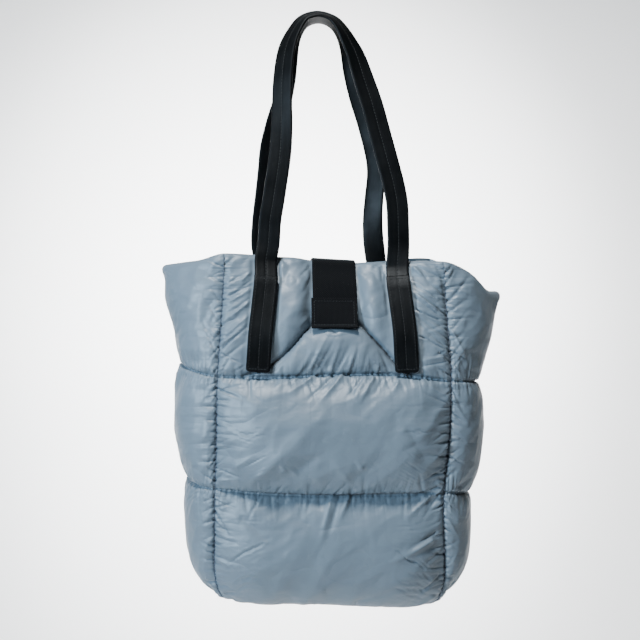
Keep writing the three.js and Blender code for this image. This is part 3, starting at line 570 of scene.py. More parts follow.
# Gathers along a seam. pitch: their spacing. long, high and wide: a gather's mean size. tilt: how
# its run turns from square to the seam, in degrees, at the top and the bottom of a channel.
GATHERS = {
    "fine": dict(pitch=5.0, long=9.0, high=1.3, wide=1.5, tilt=(35, -35)),
    "plain": dict(pitch=12.0, long=22.0, high=2.4, wide=2.6, tilt=(30, -30)),
    "drag": dict(pitch=15.0, long=36.0, high=2.6, wide=2.8, tilt=(-30, -38)),
}
QUILT_GATHERS = {
    "fine": dict(pitch=5.4, long=8.0, high=1.0, wide=1.4),
    "plain": dict(pitch=14.0, long=20.0, high=1.7, wide=2.5),
}
CHANNEL_EDGES = ("mouth", "upper", "lower", "base")
# How far chance takes a gather from its kind's mean size, and from the mean step to the next one.
GATHER_SPREAD = dict(first=(0.5, 1.0), long=(0.5, 1.5), high=(0.45, 1.35), wide=(0.75, 1.3),
                     step=(0.6, 1.4))
QUILT_SPREAD = dict(long=(0.45, 1.5), high=(0.4, 1.3), wide=(0.75, 1.3), step=(0.6, 1.4))
GATHER_MARGIN = 2.0
QUILT_MARGIN = 0.02
GATHER_TURN = 11.0
QUILT_TURN = 20.0
SLANT_FIRST = 0.1
SLANT_PITCH = 9.0
SLANT_TURN = 0.35
SLANT_GATHER = dict(long=(6, 15), high=(0.1, 0.3), wide=(1.6, 2.4))


def upright_gathers(seam, inwards, random):
    """Gathers on one side of an upright seam. seam: its station. inwards: 1 to the right of it."""
    creases = []
    seam_x = flat_place(seam, MOUTH_Z)[0]
    edges = [float(MOUTH_Z - line_z(seam, name)) for name in CHANNEL_EDGES]
    for channel in range(3):
        top, bottom = edges[channel], edges[channel + 1]
        kinds = ("fine", "drag") if channel == 0 else ("fine", "plain")
        for kind in kinds:
            size = GATHERS[kind]
            z = top + size["pitch"] * random.uniform(*GATHER_SPREAD["first"])
            while z < bottom - GATHER_MARGIN:
                share = (z - top) / (bottom - top)
                tilt = math.radians(mix(*size["tilt"], share) + random.normal(0, GATHER_TURN))
                length = size["long"] * random.uniform(*GATHER_SPREAD["long"])
                height = -size["high"] * random.uniform(*GATHER_SPREAD["high"])
                end = (seam_x + inwards * length * math.cos(tilt), z + length * math.sin(tilt))
                wide = size["wide"] * random.uniform(*GATHER_SPREAD["wide"])
                creases.append((seam_x, z, *end, height, wide))
                z += size["pitch"] * random.uniform(*GATHER_SPREAD["step"])
    return creases


def quilt_gathers(first, last, line, random):
    """Gathers above and below a quilting line between two stations."""
    creases = []
    for size in QUILT_GATHERS.values():
        for side in (-1, 1):
            s = first
            step = size["pitch"] / HALF_WIDTH
            while s < last:
                x = float(flat_place(s, MOUTH_Z)[0])
                z = float(MOUTH_Z - line_z(s, line))
                length = size["long"] * random.uniform(*QUILT_SPREAD["long"])
                lean = math.radians(random.normal(0, QUILT_TURN))
                end = (x + length * math.sin(lean), z + side * length * math.cos(lean))
                height = -size["high"] * random.uniform(*QUILT_SPREAD["high"])
                wide = size["wide"] * random.uniform(*QUILT_SPREAD["wide"])
                creases.append((x, z, *end, height, wide))
                s += step * random.uniform(*QUILT_SPREAD["step"])
    return creases


def slant_gathers(random):
    creases = []
    for route in SLANTS.values():
        for (a0, l0), (a1, l1) in zip(route, route[1:]):
            start = np.array([a0 * HALF_WIDTH, l0 * BODY_HEIGHT])
            end = np.array([a1 * HALF_WIDTH, l1 * BODY_HEIGHT])
            run = end - start
            across = np.array([-run[1], run[0]]) / np.linalg.norm(run)
            for share in np.arange(SLANT_FIRST, 1.0, SLANT_PITCH / np.linalg.norm(run)):
                for side in (-1, 1):
                    foot = start + run * share
                    length = random.uniform(*SLANT_GATHER["long"])
                    lean = random.normal(0, SLANT_TURN)
                    tip = foot + (side * across + lean * run / np.linalg.norm(run)) * length
                    high = random.uniform(*SLANT_GATHER["high"])
                    creases.append((*foot, *tip, high, random.uniform(*SLANT_GATHER["wide"])))
    return creases


# The main folds seen in the photo, on the front and beside it. x: share of half the width,
# level: share of the height, high: mm, or a dent if negative, wide: mm.
FRONT_FOLDS = rows_of(
    "x0 level0 x1 level1 high wide",
    (-0.97, 0.0815, -0.875, 0.0508, -0.9, 1.8),
    (-0.873, 0.0731, -0.763, 0.0395, 1.2, 2.6),
    (-0.966, 0.115, -0.756, 0.0869, -2, 1.8),
    (-0.951, 0.134, -0.759, 0.0981, 1.6, 2.6),
    (-0.947, 0.171, -0.756, 0.12, -1.4, 2.4),
    (-0.904, 0.171, -0.764, 0.134, 1.2, 2.4),
    (-0.961, 0.187, -0.826, 0.185, -0.8, 1.8),
    (-0.923, 0.221, -0.76, 0.173, 1.5, 2.8),
    (-0.976, 0.265, -0.773, 0.207, -2.2, 1.9),
    (-0.978, 0.251, -0.822, 0.218, 1, 2.4),
    (-0.982, 0.279, -0.879, 0.296, -1.6, 1.7),
    (-0.888, 0.296, -0.786, 0.31, -1.4, 1.7),
    (-0.842, 0.327, -0.752, 0.31, -1.2, 1.6),
    (0.762, 0.0352, 0.902, 0.083, 1.6, 2.8),
    (0.922, 0.122, 0.665, 0.0719, -1.5, 2.2),
    (0.927, 0.139, 0.794, 0.103, -1, 1.9),
    (0.924, 0.17, 0.671, 0.114, -1.3, 2.4),
    (0.91, 0.156, 0.689, 0.1, 1.5, 2.8),
    (0.931, 0.186, 0.778, 0.17, -2.4, 1.8),
    (0.787, 0.172, 0.667, 0.151, -2.4, 1.8),
    (0.929, 0.207, 0.766, 0.23, -1, 2.2),
    (0.948, 0.269, 0.782, 0.244, -2.4, 1.8),
    (0.791, 0.244, 0.671, 0.235, -2, 1.8),
    (0.943, 0.275, 0.847, 0.292, -1.8, 1.7),
    (0.953, 0.303, 0.69, 0.323, -1.4, 2),
    (0.924, 0.292, 0.709, 0.306, 1.2, 2.6),
    (0.95, 0.323, 0.86, 0.325, -1.5, 1.6),
    (-0.217, 0.025, -0.355, 0.0811, -1.8, 2.2),
    (-0.208, 0.0362, -0.327, 0.117, 1.3, 3.2),
    (-0.225, 0.0782, -0.318, 0.14, -1, 2.4),
    (-0.239, 0.187, -0.338, 0.226, 1.2, 2.6),
    (0.15, 0.0246, 0.306, 0.0778, 1.6, 3),
    (0.158, 0.0358, 0.272, 0.0582, -1.2, 2),
    (0.158, 0.0835, 0.252, 0.126, -1, 2.4),
    (0.164, 0.196, 0.319, 0.238, 1, 2.8),
    (-0.516, 0.327, -0.286, 0.243, -1.2, 3),
    (-0.214, 0.327, -0.0488, 0.232, 1.6, 3.2),
    (-0.155, 0.333, 0.0113, 0.246, -1.6, 2.4),
    (-0.0462, 0.333, 0.054, 0.252, 1.8, 2.8),
    (0.0127, 0.333, 0.131, 0.266, -1.8, 2.4),
    (0.105, 0.33, 0.182, 0.274, 1.6, 2.6),
    (0.223, 0.333, 0.267, 0.288, -1.4, 2.2),
    (0.35, 0.336, 0.377, 0.305, 1, 2),
    (-0.306, 0.333, -0.175, 0.271, 0.9, 3.4),
    (-0.708, 0.327, -0.628, 0.299, -1, 2),
    (0.0549, 0.344, -0.149, 0.422, 2.2, 3.4),
    (-0.0208, 0.344, -0.251, 0.417, -1.6, 3),
    (-0.18, 0.344, -0.403, 0.397, 1.8, 3.2),
    (-0.264, 0.344, -0.421, 0.377, -1.2, 2.4),
    (0.316, 0.353, 0.179, 0.426, 2, 3.2),
    (0.232, 0.347, 0.085, 0.412, -1.8, 3),
    (0.4, 0.353, 0.303, 0.401, -1.2, 2.4),
    (0.535, 0.356, 0.471, 0.395, 1, 2.4),
    (-0.556, 0.346, -0.621, 0.377, -0.9, 2.2),
    (-0.722, 0.349, -0.754, 0.377, -0.9, 2),
    (0.959, 0.421, 0.742, 0.393, -1.8, 2.2),
    (0.956, 0.402, 0.756, 0.368, 1.2, 2.6),
    (0.953, 0.498, 0.764, 0.531, -1.2, 2.6),
    (0.963, 0.537, 0.813, 0.587, 1.2, 3),
    (0.965, 0.605, 0.724, 0.641, -1.4, 2.4),
    (-0.969, 0.382, -0.771, 0.366, -1.2, 2.2),
    (-0.983, 0.46, -0.799, 0.483, -0.8, 2.6),
    (-0.988, 0.532, -0.831, 0.505, -1, 2.4),
    (-0.992, 0.599, -0.754, 0.617, -1.4, 2.2),
    (-0.973, 0.633, -0.771, 0.622, 1.2, 2.6),
    (0.161, 0.678, 0.0664, 0.745, 2.4, 3.2),
    (0.0752, 0.681, -0.0454, 0.798, -1.8, 4),
    (0.00619, 0.68, -0.105, 0.812, 1.6, 4),
    (-0.166, 0.68, -0.217, 0.73, -1.1, 2.4),
    (0.334, 0.676, 0.265, 0.726, -1.1, 2.4),
    (0.213, 0.678, 0.179, 0.72, 1.1, 2.4),
    (0.956, 0.664, 0.628, 0.744, 2.4, 3.4),
    (0.919, 0.655, 0.559, 0.71, -2, 3),
    (0.952, 0.681, 0.767, 0.756, -1.2, 2.8),
    (0.861, 0.804, 0.47, 0.856, 2.2, 4.6),
    (0.905, 0.785, 0.627, 0.823, -1.8, 3.6),
    (0.973, 0.836, 0.743, 0.874, -1.2, 2.8),
    (-0.986, 0.71, -0.799, 0.694, -1.4, 2.4),
    (-0.984, 0.766, -0.814, 0.772, -1, 2.4),
    (-0.995, 0.816, -0.763, 0.795, -1.2, 2.6),
    (-0.995, 0.85, -0.843, 0.867, 1, 2.6),
    (-0.948, 0.95, -0.802, 0.923, -2.2, 2.6),
    (-0.913, 0.967, -0.7, 0.94, 1.6, 3),
    (-0.747, 0.739, -0.267, 0.853, -1.2, 10),
    (-0.264, 0.937, 0.177, 0.855, 1.2, 11),
    (0.243, 0.939, 0.758, 0.9, -1.4, 8),
    (0.945, 0.909, 0.753, 0.942, -1.6, 3),
)
FREE_FOLDS = rows_of(
    "x0 level0 x1 level1 high wide",
    (-0.77, 0.655, -0.05, 0.44, 3.2, 15),
    (-0.5, 0.64, 0.1, 0.5, -2.6, 15),
    (-0.857, 0.6, -0.659, 0.55, 1.4, 7),
    (-0.279, 0.612, -0.42, 0.573, 1.5, 5),
    (-0.383, 0.601, -0.455, 0.567, 1.2, 3.5),
    (0.248, 0.597, 0.173, 0.563, 1.4, 3.5),
    (0.171, 0.642, -0.0333, 0.551, 1.3, 9),
    (0.547, 0.463, 0.835, 0.604, -2.2, 12),
    (0.496, 0.553, 0.893, 0.497, -1.4, 10),
)
# Folds that start at a gusset's front seam. tilt: how far down they turn, in degrees.
GUSSET_FOLDS = {
    "left": rows_of(
        "level long tilt high wide",
        (0.12, 12, 35, -1.4, 1.6),
        (0.142, 14, 28, -1.4, 1.6),
        (0.158, 13, 32, -1.2, 1.6),
        (0.178, 17, 42, -1.6, 1.8),
        (0.2, 20, 52, 1.2, 2.6),
        (0.22, 20, 46, -1.6, 1.9),
        (0.26, 18, 43, -3.0, 1.8),
        (0.285, 12, 36, -1.2, 1.6),
        (0.318, 19, 45, -3.0, 1.9),
        (0.36, 16, 13, -2.0, 1.8),
        (0.4, 14, 40, -1.4, 1.8),
        (0.43, 18, 20, 1.0, 2.6),
        (0.47, 14, 35, -1.4, 1.7),
        (0.52, 16, 38, -1.8, 1.8),
        (0.55, 20, 42, -2.2, 1.8),
        (0.578, 16, 35, -2.4, 1.7),
        (0.605, 20, 44, -2.6, 1.8),
        (0.63, 14, 40, -2.2, 1.7),
        (0.7, 18, 24, -1.8, 1.8),
        (0.74, 14, 12, -1.4, 1.7),
        (0.79, 22, 30, 1.2, 2.8),
        (0.84, 18, -8, -1.8, 1.8),
        (0.89, 20, -30, -1.6, 2.0),
    ),
    "right": rows_of(
        "level long tilt high wide",
        (0.055, 20, -54, -2.4, 1.8),
        (0.08, 28, -52, -2.8, 1.8),
        (0.085, 36, 18, 1.6, 3.0),
        (0.13, 21, -25, -2.2, 1.8),
        (0.142, 22, 18, 1.4, 2.6),
        (0.16, 26, 8, -1.2, 2.0),
        (0.183, 36, -3, -2.8, 1.9),
        (0.205, 54, 50, 2.0, 3.2),
        (0.23, 18, 4, -1.8, 1.7),
        (0.252, 44, 44, -1.4, 2.6),
        (0.272, 34, 18, -2.2, 1.9),
        (0.31, 40, 36, 1.4, 3.0),
        (0.38, 34, 48, -2.0, 2.4),
        (0.41, 42, 40, 1.6, 3.2),
        (0.45, 26, 20, -2.0, 1.9),
        (0.49, 38, 30, -1.4, 2.6),
        (0.53, 22, -10, -2.2, 1.8),
        (0.57, 24, -26, -2.2, 1.8),
        (0.6, 34, -34, 1.6, 3.0),
        (0.63, 20, -28, -2.2, 1.8),
        (0.7, 28, 22, -2.4, 1.9),
        (0.735, 38, 42, 1.5, 3.0),
        (0.78, 22, 14, -1.8, 1.8),
        (0.83, 30, -12, -1.6, 2.2),
        (0.89, 24, -36, -1.8, 2.0),
    ),
}
# The same for a gusset or the back, drawn by chance: how many and how large.
LOOSE_FOLDS = dict(count=26, long=(18, 52), high=(0.8, 2.2), wide=(3.2, 8.0), turn=(20, 40))
LOOSE_MARGIN = 0.05
LOOSE_LEVELS = (0.03, 0.93)
FOLD_GAIN = 1.4
SEEDS = {"front": 11, "right": 23, "back": 37, "left": 41, "base": 53}


def loose_folds(first, last, random):
    creases = []
    for _ in range(LOOSE_FOLDS["count"]):
        s = random.uniform(first + LOOSE_MARGIN, last - LOOSE_MARGIN)
        x = float(flat_place(s, MOUTH_Z)[0])
        z = random.uniform(*LOOSE_LEVELS) * BODY_HEIGHT
        turn = math.radians(random.normal(*LOOSE_FOLDS["turn"]))
        length = random.uniform(*LOOSE_FOLDS["long"])
        end = (x + length * math.cos(turn), z + length * math.sin(turn))
        high = random.uniform(*LOOSE_FOLDS["high"]) * random.choice((-1, 1, 1))
        creases.append((x, z, *end, high, random.uniform(*LOOSE_FOLDS["wide"])))
    return creases


PANELS = {"front": (-1, 1), "right": (1, 3), "back": (3, 5), "left": (5, 7)}


def on_cloth(row):
    """A fold's row with its shares turned into millimetres on the flat cloth."""
    return (row["x0"] * HALF_WIDTH, row["level0"] * BODY_HEIGHT,
            row["x1"] * HALF_WIDTH, row["level1"] * BODY_HEIGHT, row["high"] * FOLD_GAIN, row["wide"])


def panel_creases(panel):
    """Folds that fade at both ends, and folds and gathers that start at a seam, as two lists."""
    random = np.random.default_rng(SEEDS[panel])
    first, last = PANELS[panel]
    fine = []
    for line in ("upper", "lower"):
        fine += quilt_gathers(first + QUILT_MARGIN, last - QUILT_MARGIN, line, random)
    broad = []
    if panel == "front":
        fine += slant_gathers(random) + [on_cloth(row) for row in FRONT_FOLDS]
        broad += [on_cloth(row) for row in FREE_FOLDS]
    elif panel == "back":
        broad += loose_folds(first, last, random)
    else:
        outwards = 1 if panel == "right" else -1
        for row in GUSSET_FOLDS[panel]:
            tilt = math.radians(row["tilt"])
            x, z = outwards * HALF_WIDTH, row["level"] * BODY_HEIGHT
            end = (x + outwards * row["long"] * math.cos(tilt), z + row["long"] * math.sin(tilt))
            fine.append((x, z, *end, row["high"], row["wide"]))
    # On the flat cloth a gusset lies outside the seam and a panel inside it, on either side.
    if panel in ("front", "back"):
        fine += upright_gathers(1.0, -1, random) + upright_gathers(-1.0, 1, random)
    elif panel == "right":
        fine += upright_gathers(1.0, 1, random)
    else:
        fine += upright_gathers(-1.0, -1, random)
    return broad, fine


# Grids. A panel is worked out on a middling grid, settled as cloth there and refined.
COLUMNS = {"front": 84, "right": 54, "back": 84, "left": 54}
ROWS_PER_CHANNEL = 72
CROWDING = 0.25
RIM_ROWS = (0.0, 0.004, 0.012, 0.024, 0.04)
ROW_GAP = 0.008
RIM_CALM = 12.0
SEAM_GROOVE_RISE = 30.0


def crowded(count, amount):
    even = np.linspace(0, 1, count + 1)
    return mix(even, (1 - np.cos(np.pi * even)) / 2, amount)


def panel_grid(panel):
    first, last = PANELS[panel]
    s = mix(first, last, crowded(COLUMNS[panel], CROWDING))
    rows = [c + crowded(ROWS_PER_CHANNEL, CROWDING)[:-1] for c in range(3)]
    v = np.concatenate([*rows, [3.0]])
    v = np.unique(np.concatenate([RIM_ROWS, v[v > RIM_ROWS[-1] + ROW_GAP]]))
    return np.meshgrid(s, v)


def refined(grid):
    """Twice the rows and columns, by a cubic through the neighbours."""
    def doubled(a):
        padded_grid = np.concatenate([2 * a[:1] - a[1:2], a, 2 * a[-1:] - a[-2:-1]])
        middle = (9 * (padded_grid[1:-2] + padded_grid[2:-1]) - padded_grid[:-3] - padded_grid[3:]) / 16
        made = np.empty((2 * len(a) - 1, *a.shape[1:]))
        made[0::2] = a
        made[1::2] = middle
        return made
    return np.swapaxes(doubled(np.swapaxes(doubled(grid), 0, 1)), 0, 1)


def grid_normals(points):
    along = np.gradient(points, axis=1)
    down = np.gradient(points, axis=0)
    return unit(np.cross(down, along))


def new_object(name, points, faces, smooth_faces=True):
    mesh = bpy.data.meshes.new(name)
    mesh.from_pydata([tuple(p) for p in np.asarray(points) * MM], [], [tuple(f) for f in faces])
    mesh.polygons.foreach_set("use_smooth", [smooth_faces] * len(mesh.polygons))
    mesh.update()
    made = bpy.data.objects.new(name, mesh)
    bpy.context.scene.collection.objects.link(made)
    return made


def grid_faces(rows, columns, start=0, flipped=False):
    r, c = np.meshgrid(np.arange(rows - 1), np.arange(columns - 1), indexing="ij")
    a = (start + r * columns + c).ravel()
    quads = [a, a + columns, a + columns + 1, a + 1]
    if flipped:
        quads.reverse()
    return np.stack(quads, 1)


def border(rows, columns, start=0):
    """The grid's outer ring of indices, in order."""
    grid = start + np.arange(rows * columns).reshape(rows, columns)
    return np.concatenate([grid[0, :-1], grid[:-1, -1], grid[-1, :0:-1], grid[:0:-1, 0]])


def shell(name, outer, inner):
    """A closed wall between a grid and a lining with half as many steps each way."""
    rows, columns = outer.shape[:2]
    count = rows * columns
    points = np.concatenate([outer.reshape(-1, 3), inner.reshape(-1, 3)])
    near, far = border(rows, columns), border(*inner.shape[:2], count)
    rim = np.stack([near[::2], near[1::2], np.roll(near, -2)[::2], np.roll(far, -1), far], 1)
    faces = [*grid_faces(rows, columns), *grid_faces(*inner.shape[:2], count, True), *rim]
    return new_object(name, points, faces)


# Cloth. Each panel is cut flat, as large as its puffs are where they are fullest, and sewn to
# shorter seams, so that it gathers there as it fills out.
CLOTH_FRAMES = 30
CLOTH_FINE_FRAMES = 12
CLOTH_SETTINGS = dict(
    quality=6,
    mass=0.03,
    tension_stiffness=20,
    compression_stiffness=20,
    shear_stiffness=8,
    bending_stiffness=0.02,
    air_damping=3,
    use_pressure=True,
    uniform_pressure_force=60.0,
)
CLOTH_EASE_ACROSS = 1.07
CLOTH_EASE_DOWN = 1.14
CLOTH_SWELL_CAP = 5.0
TOP_SWELL_SHARE = 0.45
CLOTH_CREASE_CAP = 7.0
CLOTH_CREASE_GAIN = 1.5
CLOTH_BLUR = 24
PIN_REACH = 2.6
RIM_HELD = 0.6


def cut_flat(points, v):
    """The panel laid flat before it is sewn."""
    across = np.linalg.norm(np.diff(points, axis=1), axis=2)
    down = np.linalg.norm(np.diff(points, axis=0), axis=2)
    x = np.concatenate([[0], np.cumsum(across[np.argmax(across.sum(1))])])
    steps = np.empty(len(down))
    channel = np.minimum(np.floor(v[:-1, 0]), 2)
    for c in range(3):
        rows = channel == c
        steps[rows] = down[rows][:, np.argmax(down[rows].sum(0))]
    z = np.concatenate([[0], np.cumsum(steps)])
    flat_x, flat_z = np.meshgrid((x - x[-1] / 2) * CLOTH_EASE_ACROSS, -z * CLOTH_EASE_DOWN)
    return np.stack([flat_x, np.zeros_like(flat_x), flat_z], -1)


def pinned(s, v, panel):
    """Where the panel's cloth is sewn or pressed, so that it can't move."""
    z, _ = row_place(s, v)
    held = np.zeros(np.shape(s), bool)
    held[0], held[-1], held[:, 0], held[:, -1] = True, True, True, True
    held |= np.abs(z - line_z(s, "mouth")) < RIM_ROLL * RIM_HELD
    for line in ("upper", "lower"):
        held |= np.abs(z - line_z(s, line)) < PIN_REACH / 2
    if panel == "front":
        held |= slant_distance(s, z) < PIN_REACH / 2
    return held | (sewn(s, z) > 0.5)


def sewn_cloth(panel, points, cut, held, frames):
    """The panel as cloth that can't move where it is held and strains back to its flat cut."""
    cloth = new_object(panel + "_cloth", points.reshape(-1, 3), grid_faces(*points.shape[:2]))
    cloth.shape_key_add(name="start")
    key = cloth.shape_key_add(name="cut")
    key.data.foreach_set("co", (cut * MM).ravel())
    group = cloth.vertex_groups.new(name="pin")
    group.add([int(i) for i in np.flatnonzero(held.ravel())], 1.0, "REPLACE")
    modifier = cloth.modifiers.new("cloth", "CLOTH")
    settings = modifier.settings
    settings.vertex_group_mass = "pin"
    settings.rest_shape_key = key
    for name, value in CLOTH_SETTINGS.items():
        setattr(settings, name, value)
    settings.effector_weights.gravity = 0
    modifier.collision_settings.use_collision = False
    modifier.point_cache.frame_start = 1
    modifier.point_cache.frame_end = frames
    return cloth


def settle(starts, frames):
    """Lets every panel's cloth fill out. starts: by panel its points, flat cut and held places."""
    cloths = {panel: sewn_cloth(panel, *start, frames) for panel, start in starts.items()}
    for step in range(1, frames + 1):
        bpy.context.scene.frame_set(step)
    graph = bpy.context.evaluated_depsgraph_get()
    settled = {}
    for panel, cloth in cloths.items():
        shape = starts[panel][0].shape
        moved = np.empty(math.prod(shape))
        cloth.evaluated_get(graph).data.vertices.foreach_get("co", moved)
        settled[panel] = moved.reshape(shape) / MM
        bpy.data.objects.remove(cloth)
    bpy.context.scene.frame_set(1)
    return settled


def blurred(grid, times):
    for _ in range(times):
        wide = np.pad(grid, ((1, 1), (0, 0), (0, 0)), "edge")
        grid = (wide[:-2] + 2 * wide[1:-1] + wide[2:]) / 4
        wide = np.pad(grid, ((0, 0), (1, 1), (0, 0)), "edge")
        grid = (wide[:, :-2] + 2 * wide[:, 1:-1] + wide[:, 2:]) / 4
    return grid


def limited(shift, most):
    size = np.linalg.norm(shift, axis=-1, keepdims=True)
    return shift * most * np.tanh(size / most) / np.maximum(size, 1e-6)


def capped(moved, start, held, v, blur):
    """The settled points: their creases kept whole, and their swelling kept near the start."""
    shift = moved - start
    broad = blurred(shift, blur)
    free = np.where(held, 0.0, 1.0)[..., None]
    creases = limited((shift - broad) * CLOTH_CREASE_GAIN, CLOTH_CREASE_CAP)
    swell = limited(broad, CLOTH_SWELL_CAP) * mix(TOP_SWELL_SHARE, 1.0, smooth(v))[..., None]
    return start + (swell + creases) * free


def settled_panels():
    """Every panel's stations and puffed points on the refined grid."""
    starts, made, levels = {}, {}, {}
    for panel in PANELS:
        s, v = panel_grid(panel)
        points = face_point(s, v)
        levels[panel] = v
        starts[panel] = (points, cut_flat(points, v), pinned(s, v, panel))
        s, v = refined(s[..., None])[..., 0], refined(v[..., None])[..., 0]
        made[panel] = (s, v, refined(points))
    moved = settle(starts, CLOTH_FRAMES)
    fine_starts = {}
    for panel, (points, cut, held) in starts.items():
        middle = refined(capped(moved[panel], points, held, levels[panel], CLOTH_BLUR))
        fine_starts[panel] = (middle, refined(cut), pinned(*made[panel][:2], panel))
    moved = settle(fine_starts, CLOTH_FINE_FRAMES)
    for panel, (s, v, start) in made.items():
        held = fine_starts[panel][2]
        made[panel] = (s, v, capped(moved[panel], start, held, v, 4 * CLOTH_BLUR))
    return made


def quilted_face(panel, s, v, points):
    """The panel's outer surface, with its folds and gathers."""
    z, _ = row_place(s, v)
    px, pz = flat_place(s, z)
    broad, fine = panel_creases(panel)
    free = (1 - sewn(s, z)) * smooth(np.abs(z - line_z(s, "mouth")) / RIM_CALM)
    lift = (crease_rise(px, pz, broad, 0.0) + crease_rise(px, pz, fine)) * free
    to_seam = seam_distance(s)
    to_line = np.min([np.abs(z - line_z(s, line)) for line in CHANNEL_EDGES[1:3]], 0)
    near = np.exp(-np.minimum(to_seam, to_line) / CRUMPLE_REACH)
    lift += crumple(px, pz, np.random.default_rng(SEEDS[panel] + 1)) * free * (
        mix(CRUMPLE_CALM, 1.0, near) * smooth(np.minimum(to_seam, to_line) / CRUMPLE_FOOT))
    lift -= GROOVE_DEPTH * np.exp(-((to_seam / GROOVE_WIDTH) ** 2)) * smooth(v * SEAM_GROOVE_RISE)
    for line in ("upper", "lower"):
        away = z - line_z(s, line)
        lift -= QUILT_GROOVE_DEPTH * np.exp(-((away / QUILT_GROOVE_WIDTH) ** 2))
    if panel == "front":
        slant = slant_distance(s, z)
        lift -= QUILT_GROOVE_DEPTH * np.exp(-((slant / QUILT_GROOVE_WIDTH) ** 2))
    return points + grid_normals(points) * lift[..., None]


def note_seams(piece, panel, s, v):
    """Stores, in mm, each point's place along and away from its upright seam and quilting line.

    by_line also holds how far the point lies above a slanting seam.
    """
    z, _ = row_place(s, v)
    px, pz = flat_place(s, z)
    to_line = np.min([np.abs(z - line_z(s, line)) for line in CHANNEL_EDGES[1:3]], 0)
    above = above_slant(px, pz) if panel == "front" else np.full(np.shape(px), FAR)
    for name, along, away in (("by_seam", pz, seam_distance(s)), ("by_line", px, to_line)):
        grid = np.stack([along, away, above], -1)
        values = np.concatenate([grid.reshape(-1, 3), grid[::2, ::2].reshape(-1, 3)])
        attribute = piece.data.attributes.new(name, "FLOAT_VECTOR", "POINT")
        attribute.data.foreach_set("vector", values.ravel())


def make_panel(name, panel, settled, material):
    outer = quilted_face(panel, *settled)
    piece = shell(name, outer, lining_point(*settled[:2])[::2, ::2])
    note_seams(piece, panel, *settled[:2])
    piece.data.materials.append(material)
    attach(piece, "root")
    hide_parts(name)
    return outer


def spanned(front, back, left, right):
    """A patch between four edges that meet at its corners."""
    u = np.linspace(0, 1, len(front))[None, :, None]
    v = np.linspace(0, 1, len(left))[:, None, None]
    ruled = front[None] * (1 - v) + back[None] * v + left[:, None] * (1 - u) + right[:, None] * u
    corners = front[0] * (1 - u) * (1 - v) + front[-1] * u * (1 - v)
    corners = corners + back[0] * (1 - u) * v + back[-1] * u * v
    return ruled - corners


def make_base(outer_grids, inner_grids, material):
    def surface(grids, floor):
        edges = [grids[panel][-1] for panel in ("front", "right", "back", "left")]
        rows = spanned(edges[0], edges[2][::-1], edges[3][::-1], edges[1])
        deep, across = rows.shape[:2]
        u = np.abs(np.linspace(-1, 1, across))[None]
        w = np.abs(np.linspace(-1, 1, deep))[:, None]
        inside = smooth((1 - np.maximum(u, w)) / (1 - BASE_FLAT))
        rows[..., 2] = mix(rows[..., 2], floor, inside)
        return rows
    outer = surface(outer_grids, BASE_Z)
    inner = surface(inner_grids, BASE_Z + BASE_PAD)[::2, ::2]
    piece = shell("base_pad", outer[:, ::-1], inner[:, ::-1])
    piece.data.materials.append(material)
    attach(piece, "root")
    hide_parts("base_pad")


# Straps and webbing lie on frames: the middle of the underside, the way across and the way out.
FRAME_EASING = 40
PANEL_STEPS = 241
STRAP_FOOT_STEP = 2.0
STRAP_AIR_STEPS = 6
STRAP_STEP = 2.2
PATCH_STEP = 1.0
CLOSURE_STEP = 1.5
CLOSURE_TILT = 0.35


def eased(rows, times):
    """The rows, each drawn towards its neighbours."""
    for _ in range(times):
        wide = np.concatenate([rows[:1], rows, rows[-1:]])
        rows = (wide[:-2] + 2 * wide[1:-1] + wide[2:]) / 4
    return rows


def frames_on_panel(s, half_band, drops, lift):
    rows = np.linspace(0, 1, PANEL_STEPS)
    columns = np.array([s - half_band, s, s + half_band])
    grid_s, grid_v = np.meshgrid(columns, rows)
    points = face_point(grid_s, grid_v)
    depth = MOUTH_Z - points[:, 1, 2]
    falling = np.maximum.accumulate(depth)
    at = np.interp(drops, falling + np.arange(len(falling)) * 1e-6, np.arange(len(falling)))
    low = np.clip(at.astype(int), 0, len(rows) - 2)
    t = (at - low)[:, None, None]
    picked = points[low] * (1 - t) + points[low + 1] * t
    across = unit(eased(picked[:, 2] - picked[:, 0], FRAME_EASING))
    down = unit(np.gradient(picked[:, 1], axis=0))
    out = np.cross(down, across)
    face = -1.0 if abs(s) <= 1 else 1.0
    out = unit(eased(out * np.sign(out[:, 1:2] * face), FRAME_EASING))
    side = unit(across - out * np.sum(across * out, -1, keepdims=True))
    raised = np.maximum(0, np.max([np.sum((picked[:, k] - picked[:, 1]) * out, -1) for k in (0, 2)], 0))
    middle = picked[:, 1] + out * (lift + raised)[:, None]
    return middle, side, out


def facing(frames, direction):
    middle, side, out = frames
    return middle, side * np.sign(side[:, :1] * direction), out


def joined(*runs):
    return tuple(np.concatenate(parts) for parts in zip(*runs))


def squared(frames):
    middle, side, out = frames
    tangent = unit(np.gradient(middle, axis=0))
    side = unit(side - tangent * np.sum(side * tangent, -1, keepdims=True))
    out = out - tangent * np.sum(out * tangent, -1, keepdims=True)
    out = unit(out - side * np.sum(out * side, -1, keepdims=True))
    return middle, side, out


def catmull(values, steps):
    """Points between the rows of values, smoothly."""
    padded_rows = np.concatenate([2 * values[:1] - values[1:2], values, 2 * values[-1:] - values[-2:-1]])
    t = (np.arange(steps) / steps)[:, None]
    made = []
    for i in range(len(values) - 1):
        p0, p1, p2, p3 = padded_rows[i:i + 4]
        made.append(0.5 * (2 * p1 + (p2 - p0) * t + (2 * p0 - 5 * p1 + 4 * p2 - p3) * t ** 2
                           + (3 * p1 - p0 - 3 * p2 + p3) * t ** 3))
    return np.concatenate([*made, values[-1:]])


